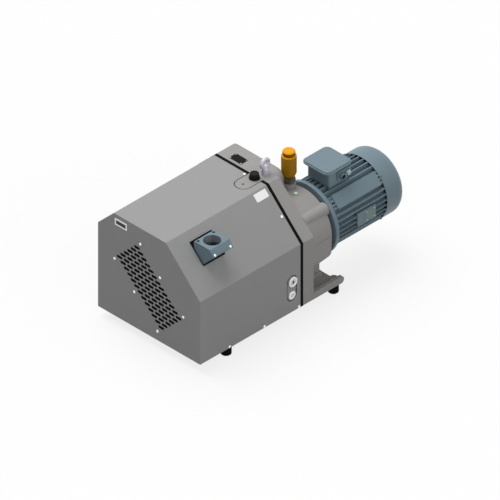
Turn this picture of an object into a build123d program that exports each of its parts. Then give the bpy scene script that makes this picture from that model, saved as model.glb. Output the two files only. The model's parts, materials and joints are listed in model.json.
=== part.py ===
from build123d import *
from cmath import exp, phase
from math import acos, atan2, cos, degrees, pi, radians, sin, sqrt, tan
import os

os.makedirs("parts", exist_ok=True)

# Claw vacuum pump, in millimetres: X runs along the shafts from the grille to the motor,
# Z is up, and the origin lies on the floor under the middle of the machine.

# Cover: a hexagonal sheet-metal hood with two sloping top corners
cover_width = 446.0
cover_height = 386.0
right_slope = 150.0
left_slope = 69.0
sheet = 2.0
bend_radius = 2.5
foot_height = 33.0
foot_radius = 17.5
fan_space = 56.0

# Gear housing, bell and motor along X, behind the cover
seam_width = 11.0
seam_proud = 0.6
rim_depth = 46.0
housing_depth = 95.0
bell_length = 53.0
motor_length = 322.0
gearcase_reach = 98.0
gearcase_inset = 8.0
rail_height = 25.0
floor_thickness = 8.0

# Shafts and claws
motor_offset = -91.0
shaft_height = 188.0
centre_distance = 96.0
claw_radius = 64.0
claw_land = radians(16)
claw_relief = 0.3
claw_slack = 0.003
end_gap = 0.3
shaft_radius = 17.5
running = 0.05
cylinder_length = 228.0
intermediate_thickness = 24.0
front_plate_thickness = 32.0
rest_angle = radians(20)

# Timing gears
gear_teeth = 32
gear_width = 28.0
pressure_angle = radians(20)
backlash = 0.2

# Bearings and seals
bearing_radius = 36.0
bearing_width = 17.0
seal_radius = 26.0
seal_width = 7.0

# Inlet block and its port
block_lead = 5.0
block_length = 85.5
inlet_radius = 28.5
inlet_depth = 30.0

# Motor
frame_radius = 98.0
fin_height = 15.0
bolt_seat = 9.5
flange_border = 17.5
flange_thickness = 14.0
spigot_depth = 5.0
cowl_length = 84.0
motor_shaft_radius = 14.0
motor_shaft_reach = 60.0

# Places worked out from the sizes above
half_width = cover_width / 2
base_z = foot_height
top_z = base_z + cover_height
rail_z = base_z + rail_height
floor_z = base_z + floor_thickness
shaft_z = base_z + shaft_height
drive_y = motor_offset
driven_y = drive_y + centre_distance
cover_length = fan_space + front_plate_thickness + cylinder_length + intermediate_thickness + gearcase_reach
overall_length = cover_length + seam_width + housing_depth + bell_length + motor_length
front_x = -overall_length / 2
seam_x = front_x + cover_length
rim_x = seam_x + seam_width
step_x = rim_x + rim_depth
housing_back_x = rim_x + housing_depth
flange_x = housing_back_x + bell_length
back_x = flange_x + motor_length
gearcase_x = seam_x - gearcase_reach
intermediate_x = gearcase_x - intermediate_thickness
cylinder_x = intermediate_x - cylinder_length
front_plate_x = cylinder_x - front_plate_thickness
bolt_circle = 2 * (frame_radius + bolt_seat)
flange_radius = bolt_circle / 2 + flange_border
spigot_radius = bolt_circle / 2 - flange_border
fin_radius = frame_radius + fin_height
cowl_radius = fin_radius + 1
block_x = cylinder_x - block_lead
pitch_radius = centre_distance / 2
claw_root = centre_distance - claw_radius
chamber_radius = claw_radius - claw_relief + end_gap
slope_normal = (0, -1, 1)
slope_sum = top_z - right_slope + half_width


def outline(right, rest, bottom):
    """Hood outline in Y and Z, set in by one amount on the right side and slope and one elsewhere."""
    left_c = top_z - left_slope + half_width - rest * sqrt(2)
    right_c = slope_sum - right * sqrt(2)
    right_y = -half_width + right
    left_y = half_width - rest
    Polygon(
        (right_y, bottom),
        (left_y, bottom),
        (left_y, left_c - left_y),
        (left_c - top_z + rest, top_z - rest),
        (top_z - rest - right_c, top_z - rest),
        (right_y, right_c + right_y),
        align=None,
    )


def turn(y, *points, mode=Mode.ADD):
    """Body of revolution about the shaft line at this y, from (x, radius) points."""
    with BuildSketch(Plane.XZ.offset(-y)) as profile:
        Polygon(*[(x, shaft_z + r) for x, r in points], align=None)
    revolve(profile.sketch, axis=Axis((0, y, shaft_z), (1, 0, 0)), mode=mode)


def ring(y, x, length, outer, inner, mode=Mode.ADD):
    """Plain ring about the shaft line at this y."""
    turn(y, (x, inner), (x + length, inner), (x + length, outer), (x, outer), mode=mode)


def bore(y, x, length, radius):
    """Plain hole along the shaft line at this y."""
    turn(y, (x, 0), (x + length, 0), (x + length, radius), (x, radius), mode=Mode.SUBTRACT)


def turn_up(x, y, *points, mode=Mode.ADD):
    """Body of revolution about the upright line at x and y, from (radius, z) points."""
    with BuildSketch(Plane.XZ.offset(-y)) as profile:
        Polygon(*[(x + r, z) for r, z in points], align=None)
    revolve(profile.sketch, axis=Axis((x, y, 0), (0, 0, 1)), mode=mode)


def upright(x, y, z0, z1, radius, mode=Mode.ADD):
    """Upright cylinder between two heights."""
    turn_up(x, y, (0, z0), (radius, z0), (radius, z1), (0, z1), mode=mode)


def upright_hole(x, y, z0, z1, radius):
    """Upright hole between two heights."""
    upright(x, y, z0, z1, radius, Mode.SUBTRACT)


def across(x, y):
    """Plane across a shaft line, facing the motor."""
    return Plane(origin=(x, y, shaft_z), x_dir=(0, 1, 0), z_dir=(1, 0, 0))


def box(x0, x1, y0, y1, z0, z1, mode=Mode.ADD):
    """Block between two corners."""
    with BuildSketch(Plane.XY.offset(z0)) as profile:
        with Locations(((x0 + x1) / 2, (y0 + y1) / 2)):
            Rectangle(x1 - x0, y1 - y0)
    extrude(profile.sketch, amount=z1 - z0, mode=mode)


def write(builder, name):
    """Name a finished piece and write its file."""
    builder.part.label = name
    export_step(builder.part, f"parts/{name}.step")


# Base casting: a floor with air openings, side rails under the cover and beside the gear housing
rail_width = 9.0
rail_clearance = 1.0
rear_rail_width = 12.0
tray_gap = 6.0
tray_front_x = front_x + sheet + tray_gap
tray_half = half_width - sheet - rail_clearance
floor_back_x = flange_x + 15
foot_x = (front_x + 133, flange_x + 4)
foot_y = half_width - 20
pad_width = 42.0
pad_round = 14.0
rear_end_x = foot_x[1] + 27
pedestal_half = 60.0
pedestal_rim = 6.0
foot_places = [(x, y) for x in foot_x for y in (-foot_y, foot_y)]
foot_bolt_radius = 4.0
cross_wall = 16.0
air_opening = (90.0, 300.0, 20.0)
air_opening_x = (front_x + 95, front_x + 235)
cover_screw_x = (front_x + 128, front_x + 280, seam_x - 7)
cover_screw_z = base_z + 5.5
screw_radius = 2.5
screw_length = 9.0

with BuildPart() as base_frame:
    box(tray_front_x, floor_back_x, -tray_half, tray_half, base_z, floor_z)
    for side in (-1, 1):
        inner = sorted((side * tray_half, side * (tray_half - rail_width)))
        box(tray_front_x, rim_x, *inner, base_z, rail_z)
        with BuildSketch(Plane.XZ.offset(-side * half_width)) as rail:
            with Locations(((rim_x + rear_end_x) / 2, (base_z + rail_z) / 2)):
                Rectangle(rear_end_x - rim_x, rail_height)
            fillet(rail.vertices().group_by(Axis.X)[-1], rail_height / 2 - 0.5)
        extrude(amount=side * rear_rail_width)
        with BuildSketch(Plane.XY.offset(base_z)) as pad:
            with Locations(((foot_x[1] + rear_end_x) / 2, side * (tray_half - pad_width / 2))):
                Rectangle(rear_end_x - foot_x[1], pad_width)
            fillet(pad.vertices().group_by(Axis.X)[-1], pad_round)
        extrude(amount=floor_thickness)
    box(gearcase_x, gearcase_x + cross_wall, -tray_half + 1, tray_half - 1, floor_z, rail_z)
    box(housing_back_x - cross_wall, housing_back_x, drive_y, tray_half - rail_width, floor_z, rail_z)
    box(
        step_x + pedestal_rim,
        flange_x - rail_clearance,
        drive_y - pedestal_half - pedestal_rim,
        drive_y + pedestal_half + pedestal_rim,
        floor_z,
        rail_z,
    )
    with BuildSketch(Plane.XY.offset(base_z)):
        with Locations(*[(x, 0) for x in air_opening_x]):
            RectangleRounded(*air_opening)
    extrude(amount=floor_thickness, mode=Mode.SUBTRACT)
    with BuildSketch(Plane.XY.offset(base_z)):
        with Locations(*foot_places):
            Circle(foot_bolt_radius)
    extrude(amount=rail_height, mode=Mode.SUBTRACT)
    for side in (-1, 1):
        with BuildSketch(Plane.XZ.offset(-side * half_width)):
            with Locations(*[(x, cover_screw_z) for x in cover_screw_x]):
                Circle(screw_radius)
        extrude(amount=side * screw_length, mode=Mode.SUBTRACT)
write(base_frame, "base_frame")

# Rubber feet: rounded pucks with a metal-screw recess at the top
foot_recess = 6.0
foot_shoulder = 6.0
foot_flare = 4.0
foot_round = 3.0
with BuildPart() as rubber_feet:
    for x, y in foot_places:
        turn_up(
            x,
            y,
            (foot_bolt_radius, foot_recess),
            (foot_bolt_radius + foot_flare, 0),
            (foot_radius - foot_round, 0),
            (foot_radius, foot_round),
            (foot_radius, foot_height - foot_shoulder),
            (foot_radius - foot_flare, foot_height),
            (foot_bolt_radius, foot_height),
        )
write(rubber_feet, "rubber_feet")

# Foot screws: dome heads on the base casting, shanks down into the rubber
head_radius = 7.5
head_height = 5.0
with BuildPart() as foot_screws:
    for x, y in foot_places:
        turn_up(
            x,
            y,
            (0, foot_height / 2),
            (foot_bolt_radius, foot_height / 2),
            (foot_bolt_radius, floor_z),
            (head_radius, floor_z),
            (head_radius, floor_z + head_height / 2),
            (head_radius / 2, floor_z + head_height),
            (0, floor_z + head_height),
        )
write(foot_screws, "foot_screws")

# Gear housing: a casting that carries the pump on its front and the motor on its bell
boss_radius = 22.0
rear_round = 24.0
plan_round = 46.0
bell_start = flange_radius - 1
bell_end = flange_radius - 7
bell_cavity = flange_radius - 25
groove_width = 8.0
groove_radius = bell_cavity + 4
bell_floor_z = base_z + 87
bell_corner = 40.0
bell_foot_gap = 14.0
pedestal_height = 72.0
gear_chamber_depth = 130.0
gear_chamber_floor = base_z + 50
gear_chamber_top = base_z + 302
gear_chamber_round = 30.0
gear_chamber_y = driven_y + 74
gear_wall = 25.0
side_wall = 28.0
exhaust_y = half_width - 71
exhaust_z = shaft_z - 8
exhaust_chamber = (106.0, 240.0, 20.0)
notch_width = 60.0
notch_centre_x = rim_x - 56
notch_y = -19.0
notch_gap = 3.0
notch_hole_x = notch_centre_x - 2
notch_hole_radius = 4.0
notch_hole_depth = 6.0
filler_x = rim_x - 10.5
filler_y = -21.0
filler_radius = 11.0
glass_x = seam_x - 38
glass_z = base_z + 116
drain_z = base_z + 64
glass_radius = 13.0
drain_radius = 10.0
glass_slot_radius = 21.5
glass_pad_radius = 19.0
glass_pad_inset = 1.0
valve_x = flange_x - 29
valve_y = -42.0
valve_seat_z = shaft_z + flange_radius + 5
valve_thread = 13.0
valve_boss_radius = 22.0
vent_x = flange_x - 50
vent_y = drive_y - 2
vent_seat_z = shaft_z + flange_radius - 5
vent_thread = 6.0
vent_boss_radius = 14.0
vent_spot_radius = 10.0
lift_x = rim_x + 29
lift_y = -27.5
lift_thread = 5.0
lift_hole = 20.0
landing = 16.0
landing_gap = 0.5
top_screw = (seam_x - 6, 15.0)
slope_screw_y = -150.0
slope_plane = Plane(
    origin=(seam_x - 9, slope_screw_y, slope_screw_y + slope_sum), x_dir=(1, 0, 0), z_dir=slope_normal
)
bolt_angles = [radians(45 + 90 * k) for k in range(4)]
bolt_places = [
    (drive_y + bolt_circle / 2 * cos(a), shaft_z + bolt_circle / 2 * sin(a)) for a in bolt_angles
]
flange_bolt_radius = 6.0
flange_bolt_depth = 20.0
chamber_back_x = gearcase_x + gear_chamber_depth
bell_bore_x = chamber_back_x + gear_wall
chamber_sum = slope_sum - side_wall * sqrt(2)
rear_block_y = -half_width + right_slope + 6

with BuildPart() as gear_housing:
    with BuildSketch(Plane.YZ.offset(gearcase_x)):
        outline(gearcase_inset, gearcase_inset, rail_z)
    extrude(amount=rim_x - gearcase_x)
    with BuildSketch(Plane.YZ.offset(seam_x - landing)):
        outline(sheet + landing_gap, sheet + landing_gap, rail_z)
    extrude(amount=landing)
    with BuildSketch(Plane.YZ.offset(rim_x)):
        outline(0, 0, rail_z)
    extrude(amount=rim_depth)
    with BuildSketch(Plane.YZ.offset(step_x)):
        Polygon(
            (rear_block_y, rail_z),
            (half_width, rail_z),
            (half_width, top_z - left_slope),
            (half_width - left_slope, top_z),
            (rear_block_y, top_z),
            align=None,
        )
    extrude(amount=housing_back_x - step_x)
    rear = gear_housing.faces().sort_by(Axis.X)[-1]
    fillet(rear.edges().sort_by(Axis.Y)[0], plan_round)
    rear = gear_housing.faces().sort_by(Axis.X)[-1]
    fillet(rear.edges().sort_by(Axis.Z)[-2:] + rear.edges().sort_by(Axis.Y)[-1:], rear_round)
    turn(
        drive_y,
        (step_x, 0),
        (step_x, bell_start),
        (flange_x - groove_width, bell_end),
        (flange_x - groove_width, groove_radius),
        (flange_x, groove_radius),
        (flange_x, 0),
    )
    with BuildSketch(Plane.YZ.offset(step_x)) as bell_foot:
        with Locations((drive_y, (bell_floor_z + shaft_z) / 2)):
            Rectangle(2 * bell_start, shaft_z - bell_floor_z)
        fillet(bell_foot.vertices().group_by(Axis.Y)[0], bell_corner)
    extrude(amount=flange_x - bell_foot_gap - step_x)
    with BuildSketch(Plane.XY.offset(rail_z)) as pedestal:
        with Locations(((step_x + flange_x - rail_clearance) / 2, drive_y)):
            Rectangle(flange_x - rail_clearance - step_x, 2 * pedestal_half)
        fillet(pedestal.vertices().group_by(Axis.X)[-1], pedestal_rim)
    extrude(amount=pedestal_height)
    with BuildSketch(Plane.YZ.offset(step_x)):
        with Locations(*bolt_places):
            Circle(boss_radius)
    extrude(amount=flange_x - step_x)
    with BuildSketch(Plane.XY.offset(top_z)):
        with Locations((notch_centre_x, notch_y)):
            Circle(notch_width / 2 - notch_gap)
        with Locations(((notch_centre_x + rim_x) / 2, notch_y)):
            Rectangle(rim_x - notch_centre_x, notch_width - 2 * notch_gap)
    extrude(amount=-2 * gearcase_inset)
    upright(valve_x, valve_y, shaft_z + bell_cavity, valve_seat_z, valve_boss_radius)
    upright(vent_x, vent_y, shaft_z + bell_cavity, vent_seat_z, vent_boss_radius)
    with BuildSketch(Plane.YZ.offset(gearcase_x)) as chamber:
        Polygon(
            (side_wall - half_width, gear_chamber_floor),
            (gear_chamber_y, gear_chamber_floor),
            (gear_chamber_y, gear_chamber_top),
            (gear_chamber_top - chamber_sum, gear_chamber_top),
            (side_wall - half_width, chamber_sum + side_wall - half_width),
            align=None,
        )
        fillet(chamber.vertices(), gear_chamber_round)
    extrude(amount=gear_chamber_depth, mode=Mode.SUBTRACT)
    with BuildSketch(Plane.YZ.offset(gearcase_x)):
        with Locations((exhaust_y, exhaust_z)):
            RectangleRounded(*exhaust_chamber)
    extrude(amount=housing_back_x - inlet_depth - gearcase_x, mode=Mode.SUBTRACT)
    with BuildSketch(Plane.YZ.offset(housing_back_x)):
        with Locations((exhaust_y, exhaust_z)):
            Circle(inlet_radius)
    extrude(amount=-inlet_depth, mode=Mode.SUBTRACT)
    bore(drive_y, bell_bore_x, flange_x - bell_bore_x - spigot_depth - 2, bell_cavity)
    bore(drive_y, bell_bore_x, flange_x - bell_bore_x, spigot_radius + running)
    bore(drive_y, chamber_back_x, bearing_width, bearing_radius)
    bore(drive_y, chamber_back_x, gear_wall, seal_radius)
    with BuildSketch(Plane.YZ.offset(flange_x)):
        with Locations(*bolt_places):
            Circle(flange_bolt_radius)
    extrude(amount=-flange_bolt_depth, mode=Mode.SUBTRACT)
    upright_hole(filler_x, filler_y, shaft_z, top_z, filler_radius)
    upright_hole(notch_hole_x, notch_y, top_z - notch_hole_depth, top_z, notch_hole_radius)
    upright_hole(valve_x, valve_y, shaft_z, valve_seat_z, valve_thread)
    upright_hole(vent_x, vent_y, shaft_z, vent_seat_z, vent_thread)
    upright_hole(vent_x, vent_y, vent_seat_z, top_z, vent_spot_radius)
    upright_hole(lift_x, lift_y, top_z - lift_hole, top_z, lift_thread)
    with BuildSketch(Plane.XY.offset(top_z)):
        with Locations(top_screw):
            Circle(screw_radius)
    extrude(amount=-screw_length, mode=Mode.SUBTRACT)
    with BuildSketch(slope_plane):
        Circle(screw_radius)
    extrude(amount=-screw_length, mode=Mode.SUBTRACT)
    with BuildSketch(Plane.XZ.offset(half_width - glass_pad_inset)):
        with Locations((glass_x, (glass_z + drain_z) / 2)):
            SlotCenterToCenter(glass_z - drain_z, 2 * glass_pad_radius, rotation=90)
    extrude(amount=-gearcase_inset)
    for z, radius in ((glass_z, glass_radius), (drain_z, drain_radius)):
        with BuildSketch(Plane.XZ.offset(half_width)) as plug_hole:
            with Locations((glass_x, z)):
                Circle(radius)
        extrude(plug_hole.sketch, amount=-side_wall - 1, mode=Mode.SUBTRACT)
write(gear_housing, "gear_housing")

# Acoustic cover: one folded sheet with a slotted front, cut open for the inlet, filler and glass
slot_length = 24.5
slot_height = 10.0
slot_pitch_y = 15.1
slot_pitch_z = 14.7
grille_height = 180.4
grille_z = base_z + grille_height
grille_long = 13
grille_short = 6
grille_screw_u = (-6.2, -0.5, 6.2)
grille_screw_v = 3.72
grille_screw_radius = 2.5
screw_head_radius = 5.0
screw_head_height = 3.0
inlet_gap = 3.5
back_gap = 7.0
inlet_y = drive_y - 58.5
inlet_x = block_x + block_length / 2
block_top = base_z + 371.5
block_back_y = inlet_y + inlet_radius + 9
block_front_y = inlet_y - inlet_radius - 4
chamfer_y = block_front_y - 17
chamfer_z = block_top - 22.5
block_under = chamfer_y + chamfer_z
block_slope_y = ((block_under - slope_sum - inlet_gap * sqrt(2)) / 2, block_back_y + back_gap)


def lattice(u, v):
    """Place on the front for a step count along the band and across it."""
    return (slot_pitch_y * (v - u), grille_z - slot_pitch_z * (u + v))


slot_places = [
    lattice(i - (grille_long - 1) / 2, j - (grille_short - 1) / 2)
    for i in range(grille_long)
    for j in range(grille_short)
]
grille_screw_places = [lattice(u, v) for u in grille_screw_u for v in (-grille_screw_v, grille_screw_v)]
block_plane = Plane(
    origin=(inlet_x, sum(block_slope_y) / 2, sum(block_slope_y) / 2 + slope_sum),
    x_dir=(1, 0, 0),
    z_dir=slope_normal,
)

with BuildPart() as acoustic_cover:
    with BuildSketch(Plane.YZ.offset(front_x)):
        outline(0, 0, base_z)
    extrude(amount=cover_length)
    bends = acoustic_cover.edges().filter_by(Axis.X).sort_by(Axis.Z)[2:]
    fillet(bends, bend_radius)
    with BuildSketch(Plane.YZ.offset(front_x + sheet)):
        outline(sheet, sheet, base_z)
    extrude(amount=cover_length, mode=Mode.SUBTRACT)
    with BuildSketch(Plane.YZ.offset(front_x)):
        with Locations(*slot_places):
            SlotOverall(slot_length, slot_height)
        with Locations(*grille_screw_places):
            Circle(screw_radius)
    extrude(amount=sheet, mode=Mode.SUBTRACT)
    with BuildSketch(Plane.XY.offset(top_z)):
        with Locations((notch_centre_x, notch_y)):
            Circle(notch_width / 2)
        with Locations(((notch_centre_x + seam_x) / 2, notch_y)):
            Rectangle(seam_x - notch_centre_x, notch_width)
        with Locations(top_screw):
            Circle(screw_radius)
    extrude(amount=-2 * sheet, mode=Mode.SUBTRACT)
    with BuildSketch(block_plane):
        RectangleRounded(
            block_length + 2 * inlet_gap, (block_slope_y[1] - block_slope_y[0]) * sqrt(2), inlet_gap
        )
    extrude(amount=-3 * sheet, mode=Mode.SUBTRACT)
    with BuildSketch(slope_plane):
        Circle(screw_radius)
    extrude(amount=-2 * sheet, mode=Mode.SUBTRACT)
    with BuildSketch(Plane.XZ.offset(half_width)):
        with Locations((glass_x, (glass_z + drain_z) / 2)):
            SlotCenterToCenter(glass_z - drain_z, 2 * glass_slot_radius, rotation=90)
    extrude(amount=-2 * sheet, mode=Mode.SUBTRACT)
    for side in (-1, 1):
        with BuildSketch(Plane.XZ.offset(-side * half_width)):
            with Locations(*[(x, cover_screw_z) for x in cover_screw_x]):
                Circle(screw_radius)
        extrude(amount=side * 2 * sheet, mode=Mode.SUBTRACT)
write(acoustic_cover, "acoustic_cover")

# Seal band between the cover and the gear housing, open at the filler pad and over the rails
with BuildPart() as cover_seal:
    with BuildSketch(Plane.YZ.offset(seam_x)):
        outline(-seam_proud, -seam_proud, base_z)
        with BuildSketch(mode=Mode.SUBTRACT):
            outline(gearcase_inset, gearcase_inset, base_z)
    extrude(amount=seam_width)
    box(seam_x, rim_x, -tray_half, tray_half, base_z, rail_z, mode=Mode.SUBTRACT)
    with BuildSketch(Plane.XY.offset(top_z - gearcase_inset)):
        with Locations(((seam_x + rim_x) / 2, notch_y)):
            Rectangle(seam_width, notch_width)
    extrude(amount=2 * gearcase_inset, mode=Mode.SUBTRACT)
write(cover_seal, "cover_seal")

# Intermediate plate: closes the cylinder at the back and the gear housing at the front
plate_top_z = base_z + 320
port_size = (40.0, 80.0, 8.0)
with BuildPart() as intermediate_plate:
    with BuildSketch(Plane.YZ.offset(intermediate_x)):
        outline(gearcase_inset, gearcase_inset, rail_z)
    extrude(amount=intermediate_thickness)
    box(intermediate_x, gearcase_x, -half_width, half_width, plate_top_z, top_z, mode=Mode.SUBTRACT)
    for y in (drive_y, driven_y):
        bore(y, gearcase_x - bearing_width, bearing_width, bearing_radius)
        bore(y, intermediate_x, intermediate_thickness, seal_radius)
    with BuildSketch(Plane.YZ.offset(intermediate_x)):
        with Locations((exhaust_y, exhaust_z)):
            RectangleRounded(*port_size)
    extrude(amount=intermediate_thickness, mode=Mode.SUBTRACT)
write(intermediate_plate, "intermediate_plate")

# Cylinder: finned casting with the figure-eight chamber, its inlet seat on top and its outlet at the left
cylinder_wall = 16.0
cylinder_centre_y = (drive_y + driven_y) / 2
cylinder_body = (
    centre_distance + 2 * (chamber_radius + cylinder_wall),
    2 * (chamber_radius + cylinder_wall),
    60.0,
)
fin_reach = 12.0
fin_pitch = 16.0
fin_thickness = 4.0
fin_count = 12
fin_clearance = 1.0
first_fin_x = intermediate_x - 20
fin_size = (cylinder_body[0] + 2 * fin_reach, cylinder_body[1] + 2 * fin_reach, cylinder_body[2])
inlet_valve_y = drive_y - 22.0
valve_axis = (inlet_x, inlet_valve_y)
valve_pad = 74.0
valve_disc_radius = 26.0
valve_thickness = 3.5
valve_pocket_radius = 29.0
valve_lift = 8.0
closed_spring = 10.5
valve_pocket = valve_thickness + valve_lift + closed_spring
valve_bore = 22.0
pad_z = base_z + 272.0
outlet_window = (50.0, 34.0, 8.0)
outlet_rim = 9.0
outlet_x = intermediate_x - 60
outlet_y = cylinder_centre_y + cylinder_body[0] / 2 + fin_reach

with BuildPart() as cylinder:
    with BuildSketch(Plane.YZ.offset(cylinder_x)):
        with Locations((cylinder_centre_y, shaft_z)):
            RectangleRounded(*cylinder_body)
    extrude(amount=cylinder_length)
    fin_planes = [Plane.YZ.offset(first_fin_x - fin_pitch * k) for k in range(fin_count)]
    with BuildSketch(*fin_planes):
        with Locations((cylinder_centre_y, shaft_z)):
            RectangleRounded(*fin_size)
    extrude(amount=fin_thickness)
    box(
        block_x - fin_clearance,
        block_x + block_length + fin_clearance,
        inlet_valve_y - valve_pad,
        inlet_valve_y + valve_pad,
        pad_z - fin_clearance,
        pad_z + fin_reach,
        mode=Mode.SUBTRACT,
    )
    box(
        inlet_x - valve_pad / 2,
        inlet_x + valve_pad / 2,
        inlet_valve_y - valve_pad / 2,
        inlet_valve_y + valve_pad / 2,
        shaft_z + chamber_radius,
        pad_z,
    )
    box(
        outlet_x - outlet_window[0] / 2 - outlet_rim,
        outlet_x + outlet_window[0] / 2 + outlet_rim,
        driven_y + chamber_radius,
        outlet_y,
        shaft_z - outlet_window[1] / 2 - outlet_rim,
        shaft_z + outlet_window[1] / 2 + outlet_rim,
    )
    for y in (drive_y, driven_y):
        bore(y, cylinder_x, cylinder_length, chamber_radius)
    upright_hole(*valve_axis, pad_z - valve_pocket, pad_z, valve_pocket_radius)
    upright_hole(*valve_axis, shaft_z, pad_z, valve_bore)
    with BuildSketch(Plane.XZ.offset(-outlet_y)):
        with Locations((outlet_x, shaft_z)):
            RectangleRounded(*outlet_window)
    extrude(amount=cylinder_wall + 2 * fin_reach, mode=Mode.SUBTRACT)
write(cylinder, "cylinder")

# Front bearing plate, standing on the base with two legs
leg_width = 36.0
cap_depth = 6.0
with BuildPart() as front_plate:
    with BuildSketch(Plane.YZ.offset(front_plate_x)):
        with Locations((cylinder_centre_y, shaft_z)):
            RectangleRounded(*cylinder_body)
    extrude(amount=front_plate_thickness)
    for y in (drive_y, driven_y):
        box(front_plate_x, cylinder_x, y - leg_width / 2, y + leg_width / 2, floor_z, shaft_z)
    for y in (drive_y, driven_y):
        bore(y, front_plate_x, bearing_width, bearing_radius)
        bore(y, front_plate_x, front_plate_thickness, seal_radius)
write(front_plate, "front_plate")

# Shafts: each a turned bar with seats for bearings, claw and gear
fan_seat_radius = 12.0
fan_x = front_x + 20
fan_depth = 30.0
fan_nose = 4.0
cap_x = front_plate_x - cap_depth
coupling_x = bell_bore_x + 3
hub_length = 30.0
coupling_seat_radius = 14.0
with BuildPart() as drive_shaft:
    turn(
        drive_y,
        (fan_x - fan_nose, 0),
        (fan_x - fan_nose, fan_seat_radius - 1),
        (fan_x - fan_nose + 1, fan_seat_radius),
        (fan_x + fan_depth, fan_seat_radius),
        (fan_x + fan_depth, shaft_radius),
        (coupling_x, shaft_radius),
        (coupling_x, coupling_seat_radius),
        (coupling_x + hub_length, coupling_seat_radius),
        (coupling_x + hub_length, 0),
    )
write(drive_shaft, "drive_shaft")

gear_x = gearcase_x + 20
driven_end_x = gear_x + gear_width + 15
with BuildPart() as driven_shaft:
    turn(
        driven_y,
        (front_plate_x + 1, 0),
        (front_plate_x + 1, shaft_radius),
        (driven_end_x, shaft_radius),
        (driven_end_x, 0),
    )
write(driven_shaft, "driven_shaft")


def path(radius, turning):
    """Path of a point of one claw, at this radius, as the other rotor sees it, at this turn."""
    return centre_distance * exp(1j * turning) - radius * exp(2j * turning)


def turn_at(radius, other):
    """Turn at which the path of a point at one radius reaches the other radius."""
    return acos((radius**2 + centre_distance**2 - other**2) / (2 * radius * centre_distance))


def curve(radius, first, last, angle, steps=8):
    """Spline points along a path, turned by an angle."""
    turns = [first + (last - first) * k / steps for k in range(steps + 1)]
    points = [path(radius, t) * exp(1j * angle) for t in turns]
    return [(p.real, p.imag) for p in points]


def polar_point(radius, angle):
    """Point at a radius and an angle."""
    return (radius * cos(angle), radius * sin(angle))


def claw_outline(angle):
    """Two-claw rotor: hooked flank, root land, pocket flank, pitch arc, back flank and tip land."""
    tip = claw_radius - claw_relief
    pitch = pitch_radius - claw_relief / 2
    for start in (angle, angle + pi):
        pocket_end = start + claw_land + claw_slack
        back_start = start + pi - claw_land - claw_slack
        back_start += phase(path(claw_radius, turn_at(claw_radius, pitch_radius))) + 2 * claw_slack
        hook = curve(claw_radius, turn_at(claw_radius, tip), 0, start - claw_slack)
        pocket = curve(claw_radius, 0, -turn_at(claw_radius, pitch), pocket_end)
        back = curve(pitch_radius, 0, turn_at(pitch_radius, tip), back_start)
        next_tip = turn_at(claw_radius, tip)
        tip_end = phase(path(claw_radius, next_tip)) + start + pi - claw_slack
        tip_start = phase(path(pitch_radius, turn_at(pitch_radius, tip))) + back_start
        pitch_start = pocket_end - phase(path(claw_radius, turn_at(claw_radius, pitch)))
        Spline(*hook)
        ThreePointArc(
            hook[-1], polar_point(claw_root, (start - claw_slack + pocket_end) / 2), pocket[0]
        )
        Spline(*pocket)
        ThreePointArc(
            pocket[-1],
            polar_point(pitch, (pitch_start + back_start) / 2),
            polar_point(pitch, back_start),
        )
        Line(polar_point(pitch, back_start), back[0])
        Spline(*back)
        ThreePointArc(
            back[-1], polar_point(tip, (tip_start + tip_end) / 2), polar_point(tip, tip_end)
        )


claw_length = cylinder_length - 2 * end_gap
with BuildPart() as drive_claw:
    with BuildSketch(across(cylinder_x + end_gap, drive_y)):
        with BuildLine():
            claw_outline(rest_angle)
        make_face()
        Circle(shaft_radius, mode=Mode.SUBTRACT)
    extrude(amount=claw_length)
write(drive_claw, "drive_claw")

with BuildPart() as driven_claw:
    with BuildSketch(across(cylinder_x + end_gap, driven_y)):
        with BuildLine():
            claw_outline(pi - rest_angle)
        make_face()
        Circle(shaft_radius, mode=Mode.SUBTRACT)
    extrude(amount=claw_length)
write(driven_claw, "driven_claw")

# Timing gears: involute teeth that hold the claws apart
gear_module = 2 * pitch_radius / gear_teeth
gear_tip = pitch_radius + gear_module
gear_root = pitch_radius - 1.25 * gear_module
gear_base = pitch_radius * cos(pressure_angle)
gear_hub_radius = 28.0


def involute(radius):
    """Angle of the involute between its base circle and this radius."""
    slope = acos(gear_base / radius)
    return tan(slope) - slope


def gap_half(radius):
    """Half the angle of a tooth gap at this radius."""
    pitch_gap = pi / (2 * gear_teeth) + backlash / (2 * pitch_radius)
    return pitch_gap + involute(radius) - involute(pitch_radius)


def tooth_gap():
    """Outline of one tooth gap, standing on the +X side."""
    radii = [gear_base + (gear_tip + 1 - gear_base) * k / 4 for k in range(5)]
    upper = [polar_point(r, gap_half(r)) for r in radii]
    lower = [polar_point(r, -gap_half(r)) for r in radii]
    foot = gap_half(gear_base)
    Spline(*upper)
    Spline(*lower)
    Line(upper[-1], lower[-1])
    Line(upper[0], polar_point(gear_root, foot))
    Line(lower[0], polar_point(gear_root, -foot))
    Line(polar_point(gear_root, foot), polar_point(gear_root, -foot))


def gear_blank(y, first_gap):
    """Blank with its teeth cut, the first gap at this angle."""
    with BuildSketch(across(gear_x, y)) as wheel:
        Circle(gear_tip)
        with BuildSketch(mode=Mode.PRIVATE) as gap:
            with BuildLine():
                tooth_gap()
            make_face()
        with PolarLocations(0, gear_teeth, start_angle=first_gap):
            add(gap.sketch, mode=Mode.SUBTRACT)
        Circle(shaft_radius, mode=Mode.SUBTRACT)
    extrude(wheel.sketch, amount=gear_width)
    ring(y, gearcase_x + 1, gear_x - gearcase_x - 1, gear_hub_radius, shaft_radius)


with BuildPart() as drive_gear:
    gear_blank(drive_y, 180 / gear_teeth)
write(drive_gear, "drive_gear")

with BuildPart() as driven_gear:
    gear_blank(driven_y, 0)
write(driven_gear, "driven_gear")

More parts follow.
